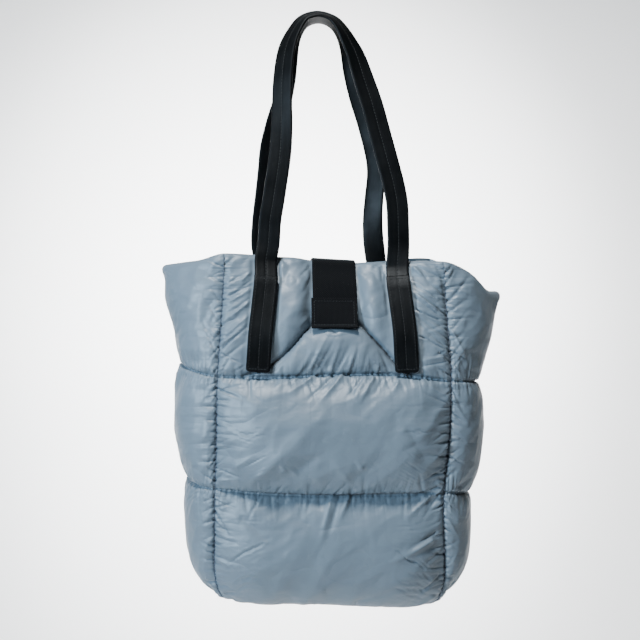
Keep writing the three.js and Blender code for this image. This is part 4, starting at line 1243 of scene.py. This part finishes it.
def evened(frames, step):
    """The same run of frames with even spacing."""
    middle, side, out = frames
    length = np.concatenate([[0], np.cumsum(np.linalg.norm(np.diff(middle, axis=0), axis=1))])
    at = np.linspace(0, length[-1], max(2, int(round(length[-1] / step))) + 1)
    pick = lambda rows: np.stack([np.interp(at, length, rows[:, k]) for k in range(3)], 1)
    return squared((pick(middle), unit(pick(side)), unit(pick(out))))


def frames_in_air(route):
    sizes = np.array([HALF_WIDTH, HANDLE_DROP, HANDLE_DROP])
    points = np.array([[row["x"], row["y"], row["z"]] for row in route]) * sizes
    turn = np.radians([row["turn"] for row in route])[:, None]
    towards = np.array([0.0, np.sign(points[0, 1]), 0.0])
    tangent = unit(np.gradient(points, axis=0))
    flat = unit(np.cross([0.0, 1.0, 0.0], tangent))
    side = flat * np.cos(turn) + towards * np.sin(turn)
    side = unit(side - tangent * np.sum(side * tangent, -1, keepdims=True))
    out = np.cross(tangent, side)
    out *= np.sign(out @ towards)[:, None]
    return points, side, out


def strap_frames(side_name, route):
    shift = (lambda u: u) if side_name == "front" else (lambda u: 4 - u)
    end = STRAP_PATCH_TOP + STRAP_PATCH_LENGTH - STRAP_END_MARGIN

    def foot(station_at, direction):
        top = MOUTH_Z - face_point(np.array([station_at]), np.array([0.0]))[0, 2]
        drops = np.arange(top + STRAP_START, end, STRAP_FOOT_STEP)
        return facing(frames_on_panel(station_at, STRAP_BAND, drops, STRAP_LIFT), direction)

    feet = STRAP_FEET[side_name]
    left, right = foot(shift(feet["left"]), 1), foot(shift(feet["right"]), -1)
    left = tuple(part[::-1] for part in left)
    air = frames_in_air(route)
    bridge = joined(tuple(part[-1:] for part in left), air, tuple(part[:1] for part in right))
    bridge = tuple(catmull(part, STRAP_AIR_STEPS) for part in bridge)
    inner = tuple(part[1:-1] for part in bridge)
    return evened(squared(joined(left, inner, right)), STRAP_STEP)


# A strap's section: across from -1 to 1, with its height as a share of the thickness, going round
# from one edge over the face and back along the underside.
# edge: how wide it rounds off. groove: how deep it dips at its middle. beads: how far it swells
# beside its edges.
STRAP_EDGE = 1.3
STRAP_GROOVE = 0.3
STRAP_BEADS = 0.06
EDGE_STEPS = 7
TOP_STEPS = 15
UNDER_STEPS = 6
GROOVE_HALF = 0.9
BEAD_PLACE = 2.4
BEAD_HALF = 1.1


def strap_section(width, thickness, edge=STRAP_EDGE, groove=STRAP_GROOVE, beads=STRAP_BEADS):
    half = width / 2
    turn = np.linspace(0, math.pi, EDGE_STEPS)
    left = [(-half + edge - edge * math.sin(a), thickness / 2 - thickness / 2 * math.cos(a)) for a in turn]
    top = []
    for x in np.linspace(-half + edge, half - edge, TOP_STEPS)[1:-1]:
        dip = groove * math.exp(-((x / GROOVE_HALF) ** 2))
        bead = beads * math.exp(-(((abs(x) - half + BEAD_PLACE) / BEAD_HALF) ** 2))
        top.append((x, thickness - dip + bead))
    right = [(-x, y) for x, y in reversed(left)]
    under = [(x, 0.0) for x in np.linspace(half - edge, -half + edge, UNDER_STEPS)[1:-1]]
    return np.array(left + top + right + under)


def swept(name, frames, section, taper=None):
    """A closed band along frames. taper: a scale for the section's width at each frame."""
    middle, side, out = frames
    wide = np.ones(len(middle)) if taper is None else taper
    points = (middle[:, None] + side[:, None] * (section[None, :, :1] * wide[:, None, None])
              + out[:, None] * section[None, :, 1:])
    rows, columns = points.shape[:2]
    r, c = np.meshgrid(np.arange(rows - 1), np.arange(columns), indexing="ij")
    a, b = r * columns + c, r * columns + (c + 1) % columns
    faces = [tuple(f) for f in np.stack([a, b, b + columns, a + columns], -1).reshape(-1, 4)]
    faces.append(tuple(range(columns - 1, -1, -1)))
    faces.append(tuple((rows - 1) * columns + k for k in range(columns)))
    made = new_object(name, points.reshape(-1, 3), faces)
    uv = made.data.uv_layers.new(name="UVMap")
    run = np.concatenate([[0], np.cumsum(np.linalg.norm(np.diff(middle, axis=0), axis=1))])
    loops = np.empty(len(made.data.loops), int)
    made.data.loops.foreach_get("vertex_index", loops)
    place = np.stack([np.tile(section[:, 0], rows), np.repeat(run, columns)], 1) * MM
    uv.data.foreach_set("uv", place[loops].ravel())
    fix_normals(made)
    return made


def fix_normals(made):
    mesh = bmesh.new()
    mesh.from_mesh(made.data)
    bmesh.ops.recalc_face_normals(mesh, faces=mesh.faces)
    mesh.to_mesh(made.data)
    mesh.free()


def corner_taper(run, radius, half):
    """How a band's width narrows round its corners at the far end."""
    inside = clamp01(1 - (run[-1] - run) / radius)
    return 1 - radius * (1 - np.sqrt(1 - inside ** 2)) / half


# Stitches, in mm. pitch: along a run. across: their pitch in a run across a patch.
STITCHES = {
    "strap": dict(pitch=3.4, long=2.6, wide=0.7, high=0.42),
    "strap_patch": dict(pitch=3.2, long=2.4, wide=0.6, high=0.35, across=3.0, inset=2.6, steps=9),
    "closure_patch": dict(pitch=3.0, long=2.3, wide=0.6, high=0.4, across=3.0, inset=3.0, steps=15),
    "seam": dict(pitch=3.4, long=3.0, wide=0.8, high=0.5),
    "quilting": dict(pitch=3.6, long=2.4, wide=0.7, high=0.4),
}


# A stitch's rings, as shares of its length and of its half width.
STITCH_RINGS = np.array([(-0.5, 0.35), (-0.38, 0.9), (0.0, 1.0), (0.38, 0.9), (0.5, 0.35)])
STITCH_SIDES = 6


def stitches(name, kind, runs, material):
    """Short rounded threads, one at each place of the runs."""
    places, directions, normals = joined(*runs)
    long, wide, high = (STITCHES[kind][key] for key in ("long", "wide", "high"))
    turns = np.linspace(0, 2 * math.pi, STITCH_SIDES, endpoint=False)
    template = np.array([(x * long, r * wide / 2 * math.cos(a), r * high * math.sin(a))
                         for x, r in STITCH_RINGS for a in turns])
    side = unit(np.cross(normals, directions))
    points = (places[:, None] + directions[:, None] * template[None, :, :1]
              + side[:, None] * template[None, :, 1:2] + normals[:, None] * template[None, :, 2:])
    n = len(turns)
    faces = []
    for ring in range(len(STITCH_RINGS) - 1):
        for k in range(n):
            faces.append((ring * n + k, ring * n + (k + 1) % n,
                          (ring + 1) * n + (k + 1) % n, (ring + 1) * n + k))
    caps = [tuple(range(n - 1, -1, -1)), tuple((len(STITCH_RINGS) - 1) * n + k for k in range(n))]
    count = len(template)
    every = [tuple(i + j * count for i in f) for j in range(len(places)) for f in faces + caps]
    made = new_object(name, points.reshape(-1, 3), every)
    made.data.materials.append(material)
    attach(made, "root")
    return made


def stitch_run(points, normals, pitch):
    """Even places along a line of points, with their directions and normals."""
    length = np.concatenate([[0], np.cumsum(np.linalg.norm(np.diff(points, axis=0), axis=1))])
    at = np.arange(pitch / 2, length[-1], pitch)
    pick = lambda rows: np.stack([np.interp(at, length, rows[:, k]) for k in range(3)], 1)
    return pick(points), unit(pick(unit(np.gradient(points, axis=0)))), unit(pick(normals))


# Materials
def node_material(name, colour, roughness, specular=0.5, sheen=0.0):
    material = bpy.data.materials.new(name)
    material.use_nodes = True
    shader = material.node_tree.nodes["Principled BSDF"]
    shader.inputs["Base Color"].default_value = (*colour, 1)
    shader.inputs["Roughness"].default_value = roughness
    shader.inputs["Specular IOR Level"].default_value = specular
    shader.inputs["Sheen Weight"].default_value = sheen
    return material, shader


class Graph:
    """Adds nodes to a material in a short form."""

    def __init__(self, material):
        self.tree = material.node_tree

    def node(self, kind, **values):
        made = self.tree.nodes.new(kind)
        for key, value in values.items():
            if key in made.inputs:
                self.feed(made.inputs[key], value)
            else:
                setattr(made, key, value)
        return made

    def feed(self, socket, value):
        if isinstance(value, bpy.types.NodeSocket):
            self.tree.links.new(value, socket)
        else:
            socket.default_value = value

    def place(self, scale, turn=(0, 0, 0)):
        coordinates = self.node("ShaderNodeTexCoord")
        mapping = self.node("ShaderNodeMapping", Vector=coordinates.outputs["Object"])
        mapping.inputs["Scale"].default_value = scale
        mapping.inputs["Rotation"].default_value = turn
        return mapping.outputs["Vector"]

    def noise(self, scale, detail=2.0, stretch=(1, 1, 1)):
        made = self.node("ShaderNodeTexNoise", Vector=self.place(stretch), Scale=scale, Detail=detail)
        return made.outputs["Fac"]

    def creases(self, vector, scale, detail=1.0, distortion=0.5):
        """0 along crooked lines, rising away from them."""
        made = self.node("ShaderNodeTexNoise", Vector=vector, Scale=scale, Detail=detail,
                         Distortion=distortion)
        return self.maths("ABSOLUTE", self.maths("SUBTRACT", made.outputs["Fac"], 0.5))

    def gathers(self, attribute, pitch, length, reach):
        """Lines square to a seam, fading with the distance from it, all in mm."""
        place = self.node("ShaderNodeAttribute", attribute_name=attribute)
        mapping = self.node("ShaderNodeMapping", Vector=place.outputs["Vector"])
        mapping.inputs["Scale"].default_value = (1 / pitch, 1 / length, 0)
        lines = self.creases(mapping.outputs["Vector"], 1.0, 1.0, 0.3)
        away = self.node("ShaderNodeSeparateXYZ", Vector=place.outputs["Vector"]).outputs["Y"]
        return self.maths("MULTIPLY", lines, self.maths("POWER", math.exp(-1 / reach), away))

    def line(self, attribute, width):
        """1 on the seam that the attribute's third value measures, 0 a little beside it."""
        place = self.node("ShaderNodeAttribute", attribute_name=attribute)
        away = self.node("ShaderNodeSeparateXYZ", Vector=place.outputs["Vector"]).outputs["Z"]
        share = self.maths("DIVIDE", away, width)
        return self.maths("POWER", math.exp(-1), self.maths("MULTIPLY", share, share))

    def ramp(self, value, *stops):
        made = self.node("ShaderNodeValToRGB", Fac=value)
        elements = made.color_ramp.elements
        while len(elements) < len(stops):
            elements.new(0.5)
        for element, (position, colour) in zip(elements, stops):
            element.position = position
            element.color = (*colour, 1)
        return made.outputs["Color"]

    def maths(self, operation, *values):
        made = self.node("ShaderNodeMath", operation=operation)
        for socket, value in zip(made.inputs, values):
            self.feed(socket, value)
        return made.outputs["Value"]

    def bump(self, height, strength, distance, normal=None):
        made = self.node("ShaderNodeBump", Height=height, Strength=strength, Distance=distance)
        if normal is not None:
            self.feed(made.inputs["Normal"], normal)
        return made.outputs["Normal"]


def scaled(colour, factor):
    return tuple(c * factor for c in colour)


def linear(red, green, blue):
    """A colour given as it looks on screen, from 0 to 255."""
    def one(value):
        share = value / 255
        return share / 12.92 if share <= 0.04045 else ((share + 0.055) / 1.055) ** 2.4
    return tuple(one(value) for value in (red, green, blue))


NYLON = linear(98, 110, 120)
LEATHER = linear(3, 4, 5)
WEBBING = linear(4, 4, 5)
NYLON_THREAD = linear(120, 138, 154)
# The upright seams' thread: partly its own blue-grey, and made darker as painted shade of the seams' grooves.
SEAM_THREAD_AND_GROOVE_SHADE = linear(62, 74, 92)
BLACK_THREAD = linear(7, 8, 9)


CREASE_LEAN = (0, math.radians(40), 0)
WEAVE_SCALE = 420.0
# Fine creases all over the nylon. high: metres.
FINE_CREASES = rows_of(
    "stretch scale high",
    ((1, 1, 1.8), 20.0, 0.0028),
    ((1, 1, 1.5), 80.0, 0.0004),
)
# Gathers that fan from the seams. pitch, length and reach: mm. high: metres.
SEAM_FANS = rows_of(
    "seam pitch length reach high",
    ("by_seam", 17.0, 150.0, 26.0, 0.006),
    ("by_line", 17.0, 150.0, 17.0, 0.005),
    ("by_seam", 6.5, 60.0, 10.0, 0.0022),
    ("by_line", 6.5, 60.0, 7.0, 0.0018),
)
# Along the slanting seams: the width of the painted shade that darkens their grooves, then the width and
# depth of their dent, in mm and metres.
SLANT_SHADE_WIDTH = 0.75
SLANT_DENT = 1.2
SLANT_DENT_DEPTH = 0.0012


def nylon_material():
    material, shader = node_material("satin_nylon", NYLON, 0.4, specular=0.5, sheen=0.03)
    shader.inputs["Sheen Roughness"].default_value = 0.45
    graph = Graph(material)
    tone = graph.ramp(graph.noise(9.0, 3.0), (0.3, scaled(NYLON, 0.93)), (0.7, scaled(NYLON, 1.06)))
    # Painted shade: the base colour is darkened along the slanting seams, where their grooves lie in shade.
    shade = graph.ramp(graph.line("by_line", SLANT_SHADE_WIDTH), (0.1, (1.0,) * 3), (0.9, (0.25,) * 3))
    toned_and_shaded = graph.node("ShaderNodeMix", data_type="RGBA", blend_type="MULTIPLY")
    toned_and_shaded.inputs["Factor"].default_value = 1.0
    graph.feed(toned_and_shaded.inputs[6], tone)
    graph.feed(toned_and_shaded.inputs[7], shade)
    graph.feed(shader.inputs["Base Color"], toned_and_shaded.outputs[2])
    graph.feed(shader.inputs["Roughness"], graph.maths("MULTIPLY_ADD", graph.noise(60.0, 4.0), 0.14, 0.38))
    normal = None
    for row in FINE_CREASES:
        lines = graph.creases(graph.place(row["stretch"], CREASE_LEAN), row["scale"])
        normal = graph.bump(lines, 1.0, row["high"], normal)
    for row in SEAM_FANS:
        lines = graph.gathers(row["seam"], row["pitch"], row["length"], row["reach"])
        normal = graph.bump(lines, 1.0, row["high"], normal)
    dent = graph.maths("SUBTRACT", 1.0, graph.line("by_line", SLANT_DENT))
    normal = graph.bump(dent, 1.0, SLANT_DENT_DEPTH, normal)
    warp = graph.node("ShaderNodeTexWave", Vector=graph.place((1, 1, 0)), Scale=WEAVE_SCALE)
    weft = graph.node("ShaderNodeTexWave", Vector=graph.place((0, 0, 1)), Scale=WEAVE_SCALE,
                      bands_direction="Z")
    weave = graph.maths("ADD", warp.outputs["Fac"], weft.outputs["Fac"])
    graph.feed(shader.inputs["Normal"], graph.bump(weave, 0.12, 0.0001, normal))
    return material


def leather_material():
    material, shader = node_material("black_leather", LEATHER, 0.5, specular=0.13)
    graph = Graph(material)
    graph.feed(shader.inputs["Base Color"],
               graph.ramp(graph.noise(40.0, 4.0), (0.3, scaled(LEATHER, 0.75)), (0.75, scaled(LEATHER, 1.5))))
    pebbles = graph.node("ShaderNodeTexVoronoi", Vector=graph.place((1, 1, 1)), Scale=900.0)
    grain = graph.bump(pebbles.outputs["Distance"], 0.3, 0.00025)
    graph.feed(shader.inputs["Normal"], graph.bump(graph.noise(220.0, 4.0), 0.25, 0.0004, grain))
    graph.feed(shader.inputs["Roughness"],
               graph.ramp(graph.noise(55.0, 3.0), (0.3, (0.41,) * 3), (0.7, (0.55,) * 3)))
    return material


def webbing_material():
    material, shader = node_material("black_twill", WEBBING, 0.85, specular=0.1, sheen=0.03)
    graph = Graph(material)
    uv = graph.node("ShaderNodeTexCoord").outputs["UV"]
    turned = graph.node("ShaderNodeMapping", Vector=uv)
    turned.inputs["Rotation"].default_value = (0, 0, math.radians(38))
    twill_and_rib_highlight = graph.node("ShaderNodeTexWave", Vector=turned.outputs["Vector"], Scale=230.0,
                       Distortion=0.6, Detail=2.0)
    # The colour follows the weave: partly its own pattern, partly painted highlight on its ribs.
    graph.feed(shader.inputs["Base Color"],
               graph.ramp(twill_and_rib_highlight.outputs["Fac"], (0.2, scaled(WEBBING, 0.5)), (0.85, scaled(WEBBING, 3.2))))
    graph.feed(shader.inputs["Normal"], graph.bump(twill_and_rib_highlight.outputs["Fac"], 1.0, 0.0006))
    return material


def thread_material(name, colour, specular=0.5, sheen=0.3):
    material, shader = node_material(name, colour, 0.6, specular=specular, sheen=sheen)
    graph = Graph(material)
    graph.feed(shader.inputs["Base Color"],
               graph.ramp(graph.noise(700.0), (0.3, scaled(colour, 0.7)), (0.7, scaled(colour, 1.35))))
    return material


def add_band(name, frames, section, material, taper=None):
    made = swept(name, frames, section, taper)
    made.data.materials.append(material)
    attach(made, "root")
    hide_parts(name)


def run_of(frames):
    steps = np.linalg.norm(np.diff(frames[0], axis=0), axis=1)
    return np.concatenate([[0], np.cumsum(steps)])


def patch_runs(kind, frames, thickness, half, lines):
    """Stitch runs down a patch, at shares of its half width, and across both its ends."""
    size = STITCHES[kind]
    middle, side, out = frames
    run = run_of(frames)
    surface = middle + out * (thickness + STITCH_LIFT)
    reach = half - size["inset"]
    keep = (run > size["inset"]) & (run < run[-1] - size["inset"])
    runs = [stitch_run((surface + side * line * reach)[keep], out[keep], size["pitch"])
            for line in lines]
    for row in (np.flatnonzero(keep)[0], np.flatnonzero(keep)[-1]):
        line = surface[row] + side[row] * np.linspace(-reach, reach, size["steps"])[:, None]
        outs = np.repeat(out[row:row + 1], size["steps"], 0)
        runs.append(stitch_run(line, outs, size["across"]))
    return runs


def patch_drops(top, length):
    return np.arange(top, top + length + PATCH_STEP / 2, PATCH_STEP)


def make_straps(leather, thread):
    for side_name, route in (("front", FRONT_STRAP_ROUTE), ("back", BACK_STRAP_ROUTE)):
        frames = strap_frames(side_name, route)
        name = side_name + "_strap"
        add_band(name, frames, strap_section(STRAP_WIDTH, STRAP_THICKNESS), leather)
        middle, _, out = frames
        top = middle + out * (STRAP_THICKNESS - STRAP_GROOVE)
        runs = [stitch_run(top, out, STITCHES["strap"]["pitch"])]
        stitches(name + "_stitches", "strap", runs, thread)
        for which in ("left", "right"):
            make_strap_patch(side_name, which, leather, thread)


def make_strap_patch(side_name, which, leather, thread):
    station_at = STRAP_FEET[side_name][which]
    station_at = station_at if side_name == "front" else 4 - station_at
    drops = patch_drops(STRAP_PATCH_TOP, STRAP_PATCH_LENGTH)
    lift = STRAP_LIFT + STRAP_THICKNESS + PATCH_GAP
    frames = squared(frames_on_panel(station_at, STRAP_BAND, drops, lift))
    run = run_of(frames)
    half = STRAP_PATCH_WIDTH / 2
    taper = corner_taper(run, PATCH_CORNER, half)
    name = side_name + "_" + which + "_strap_patch"
    section = strap_section(STRAP_PATCH_WIDTH, STRAP_PATCH_THICKNESS, edge=0.7, groove=0.2, beads=0.15)
    add_band(name, frames, section, leather, taper)
    runs = patch_runs("strap_patch", frames, STRAP_PATCH_THICKNESS, half, (-1, 1, 0))
    stitches(name + "_stitches", "strap_patch", runs, thread)


def closure_frames(station_at, face):
    columns = np.array([station_at - CLOSURE_BAND, station_at, station_at + CLOSURE_BAND])
    edges = face_point(columns, np.zeros(3))
    linings = lining_point(columns, np.zeros(3))
    across = unit((edges[2] - edges[0]) * np.array([1, 0, 1]))
    across = across * np.sign(across[0])
    slope = across[2] / across[0]
    both = np.concatenate([edges, linings])
    top = np.max(both[:, 2] - slope * (both[:, 0] - edges[1, 0])) + RIM_CLEARANCE
    start = MOUTH_Z - edges[1, 2] + EDGE_START
    drops = np.arange(start, WEBBING_LENGTH, CLOSURE_STEP)
    down = facing(frames_on_panel(station_at, CLOSURE_BAND, drops, WEBBING_LIFT), 1)
    down = tuple(part[::-1] for part in down)
    points = np.array([[edges[1, 0], edges[1, 1], top], [edges[1, 0], linings[1, 1], top]])
    outs = unit(np.array([[0, face * CLOSURE_TILT, 1.0], [0, 0, 1.0]]))
    return joined(down, (points, np.repeat(across[None], 2, 0), outs))


def make_closure(webbing, thread):
    front, back = closure_frames(0.0, -1), closure_frames(4.0, 1)
    back = tuple(part[::-1] for part in back)
    frames = squared(joined(front, back))
    smooth_frames = evened(tuple(catmull(part, 2) for part in frames), CLOSURE_STEP)
    section = strap_section(WEBBING_WIDTH, WEBBING_THICKNESS, edge=0.6, groove=0.0, beads=0.1)
    add_band("closure_webbing", smooth_frames, section, webbing)
    for side_name, station_at in (("front", 0.0), ("back", 4.0)):
        drops = patch_drops(CLOSURE_PATCH_TOP, CLOSURE_PATCH_LENGTH)
        lift = WEBBING_LIFT + WEBBING_THICKNESS + PATCH_GAP
        middle, side, out = facing(frames_on_panel(station_at, CLOSURE_BAND, drops, lift), 1)
        patch = squared((middle - side * CLOSURE_PATCH_SHIFT, side, out))
        name = side_name + "_closure_patch"
        half = CLOSURE_PATCH_WIDTH / 2
        section = strap_section(CLOSURE_PATCH_WIDTH, CLOSURE_PATCH_THICKNESS, edge=0.8, groove=0.0,
                                beads=0.2)
        add_band(name, patch, section, webbing)
        runs = patch_runs("closure_patch", patch, CLOSURE_PATCH_THICKNESS, half, (-1, 1))
        stitches(name + "_stitches", "closure_patch", runs, thread)


def make_seam_stitches(grids, quilt_thread, seam_thread_and_groove_shade):
    """Threads in the upright seams and along the quilting lines. The upright seams' thread is partly its own
    colour, and darker as painted shade of their grooves.
    """
    for panel, name in (("front", "front_seams"), ("back", "back_seams")):
        _, v, points = grids[panel]
        normals = grid_normals(points)
        runs = []
        for column in (0, -1):
            keep = v[:, column] > SEAM_STITCH_START
            line = points[keep, column] + normals[keep, column] * SEAM_STITCH_LIFT
            runs.append(stitch_run(line, normals[keep, column], STITCHES["seam"]["pitch"]))
        stitches(name + "_thread", "seam", runs, seam_thread_and_groove_shade)
    for panel in PANELS:
        _, v, points = grids[panel]
        normals = grid_normals(points)
        runs = []
        for line_at in (1.0, 2.0):
            row = int(np.argmin(np.abs(v[:, 0] - line_at)))
            out = normals[row, 2:-2]
            line = points[row, 2:-2] + out * QUILT_STITCH_LIFT
            runs.append(stitch_run(line, out, STITCHES["quilting"]["pitch"]))
        stitches(panel + "_quilting_thread", "quilting", runs, quilt_thread)


def make_body(nylon):
    grids, linings = {}, {}
    names = {"front": "front_panel", "right": "right_gusset", "back": "back_panel",
             "left": "left_gusset"}
    settled = settled_panels()
    for panel, name in names.items():
        s, v, _ = settled[panel]
        grids[panel] = (s, v, make_panel(name, panel, settled[panel], nylon))
        linings[panel] = lining_point(s, v)
    make_base({panel: grid[2] for panel, grid in grids.items()}, linings, nylon)
    return grids


# Stage
CAMERA_DISTANCE = 960.0
CAMERA_YAW = math.radians(3)
CAMERA_AIM = (2.0, 0.0, -329.6)
LENS = 18.0 * 900.0 / 320.0
# The paper floor turns up into a wall behind the bag.
FLOOR_Z = -1600.0
PAPER_SPAN = 6000.0
PAPER_WALL = 2600.0
PAPER_BEND = 900.0
PAPER_HEIGHT = 4000.0
PAPER_STEPS = 13
PAPER_GLOW = 0.3
ROOM_COLOUR = (1.0, 0.94, 0.86, 1)
ROOM_LIGHT = 0.03
BACKDROP_LIGHT = 1.5
# Lights, in metres and watts. size: across. spread: in degrees.
BAG_MIDDLE = (0.0, 0.0, -0.4)
LIGHTS = rows_of(
    "name place target size energy colour spread",
    ("key", (-0.36, -0.76, 1.38), BAG_MIDDLE, 0.34, 68, (0.92, 0.97, 1.0), 180),
    ("side", (-1.36, -1.2, -0.05), BAG_MIDDLE, 0.45, 50, (0.58, 0.8, 1.0), 180),
    ("paper_left", (-1.6, -0.2, 0.6), (0.35, 2.5, -0.35), 0.5, 62, (1, 1, 1), 60),
    ("paper_right", (1.6, -0.2, 0.6), (-0.35, 2.5, -0.35), 0.5, 62, (1, 1, 1), 60),
)


def make_camera():
    camera = bpy.data.objects.new("camera", bpy.data.cameras.new("camera"))
    camera.data.lens = LENS
    camera.data.sensor_width = 36.0
    camera.data.clip_end = 50.0
    camera.location = (
        (CAMERA_AIM[0] - CAMERA_DISTANCE * math.sin(CAMERA_YAW)) * MM,
        (CAMERA_AIM[1] - CAMERA_DISTANCE * math.cos(CAMERA_YAW)) * MM,
        CAMERA_AIM[2] * MM,
    )
    camera.rotation_euler = (math.pi / 2, 0, -CAMERA_YAW)
    bpy.context.scene.collection.objects.link(camera)
    bpy.context.scene.camera = camera


def area_light(name, place, target, size, energy, colour, spread):
    light = bpy.data.objects.new(name, bpy.data.lights.new(name, "AREA"))
    light.data.shape = "DISK"
    light.data.size = size
    light.data.energy = energy
    light.data.color = colour
    light.data.spread = math.radians(spread)
    light.location = place
    away = np.array(place) - np.array(target)
    yaw = math.atan2(away[0], -away[1])
    pitch = math.atan2(math.hypot(away[0], away[1]), away[2])
    light.rotation_euler = (pitch, 0, yaw)
    light.visible_camera = False
    bpy.context.scene.collection.objects.link(light)


def make_stage():
    paper, shader = node_material("pale_paper", (0.9, 0.9, 0.9), 0.9, specular=0.1)
    shader.inputs["Emission Color"].default_value = (1, 0.99, 0.98, 1)
    shader.inputs["Emission Strength"].default_value = PAPER_GLOW
    bend = np.linspace(0, math.pi / 2, PAPER_STEPS)
    profile = [(-PAPER_SPAN, 0.0)]
    profile += [(PAPER_WALL - PAPER_BEND * (1 - math.sin(a)), PAPER_BEND * (1 - math.cos(a))) for a in bend]
    profile += [(PAPER_WALL, PAPER_HEIGHT)]
    points = [(x, y, FLOOR_Z + z) for y, z in profile for x in (-PAPER_SPAN, PAPER_SPAN)]
    faces = [(2 * i, 2 * i + 1, 2 * i + 3, 2 * i + 2) for i in range(len(profile) - 1)]
    floor = new_object("floor", points, faces)
    floor.data.materials.append(paper)
    for row in LIGHTS:
        area_light(**row)
    make_room()


def make_room():
    """A dim room that looks as pale as the paper."""
    world = bpy.data.worlds.new("studio")
    world.use_nodes = True
    light = world.node_tree.nodes["Background"]
    light.inputs["Color"].default_value = ROOM_COLOUR
    light.inputs["Strength"].default_value = ROOM_LIGHT
    graph = Graph(world)
    seen = graph.node("ShaderNodeBackground", Color=(1, 1, 1, 1), Strength=BACKDROP_LIGHT)
    rays = graph.node("ShaderNodeLightPath")
    both = graph.node("ShaderNodeMixShader", Fac=rays.outputs["Is Camera Ray"])
    graph.feed(both.inputs[1], light.outputs["Background"])
    graph.feed(both.inputs[2], seen.outputs["Background"])
    graph.feed(world.node_tree.nodes["World Output"].inputs["Surface"], both.outputs["Shader"])
    bpy.context.scene.world = world


def main():
    make_camera()
    make_stage()
    nylon = nylon_material()
    leather = leather_material()
    webbing = webbing_material()
    black_thread = thread_material("black_thread", BLACK_THREAD, 0.3, 0.12)
    grids = make_body(nylon)
    make_seam_stitches(grids, thread_material("quilting_thread", NYLON_THREAD),
                       thread_material("seam_thread_and_groove_shade", SEAM_THREAD_AND_GROOVE_SHADE))
    make_straps(leather, black_thread)
    make_closure(webbing, black_thread)


main()
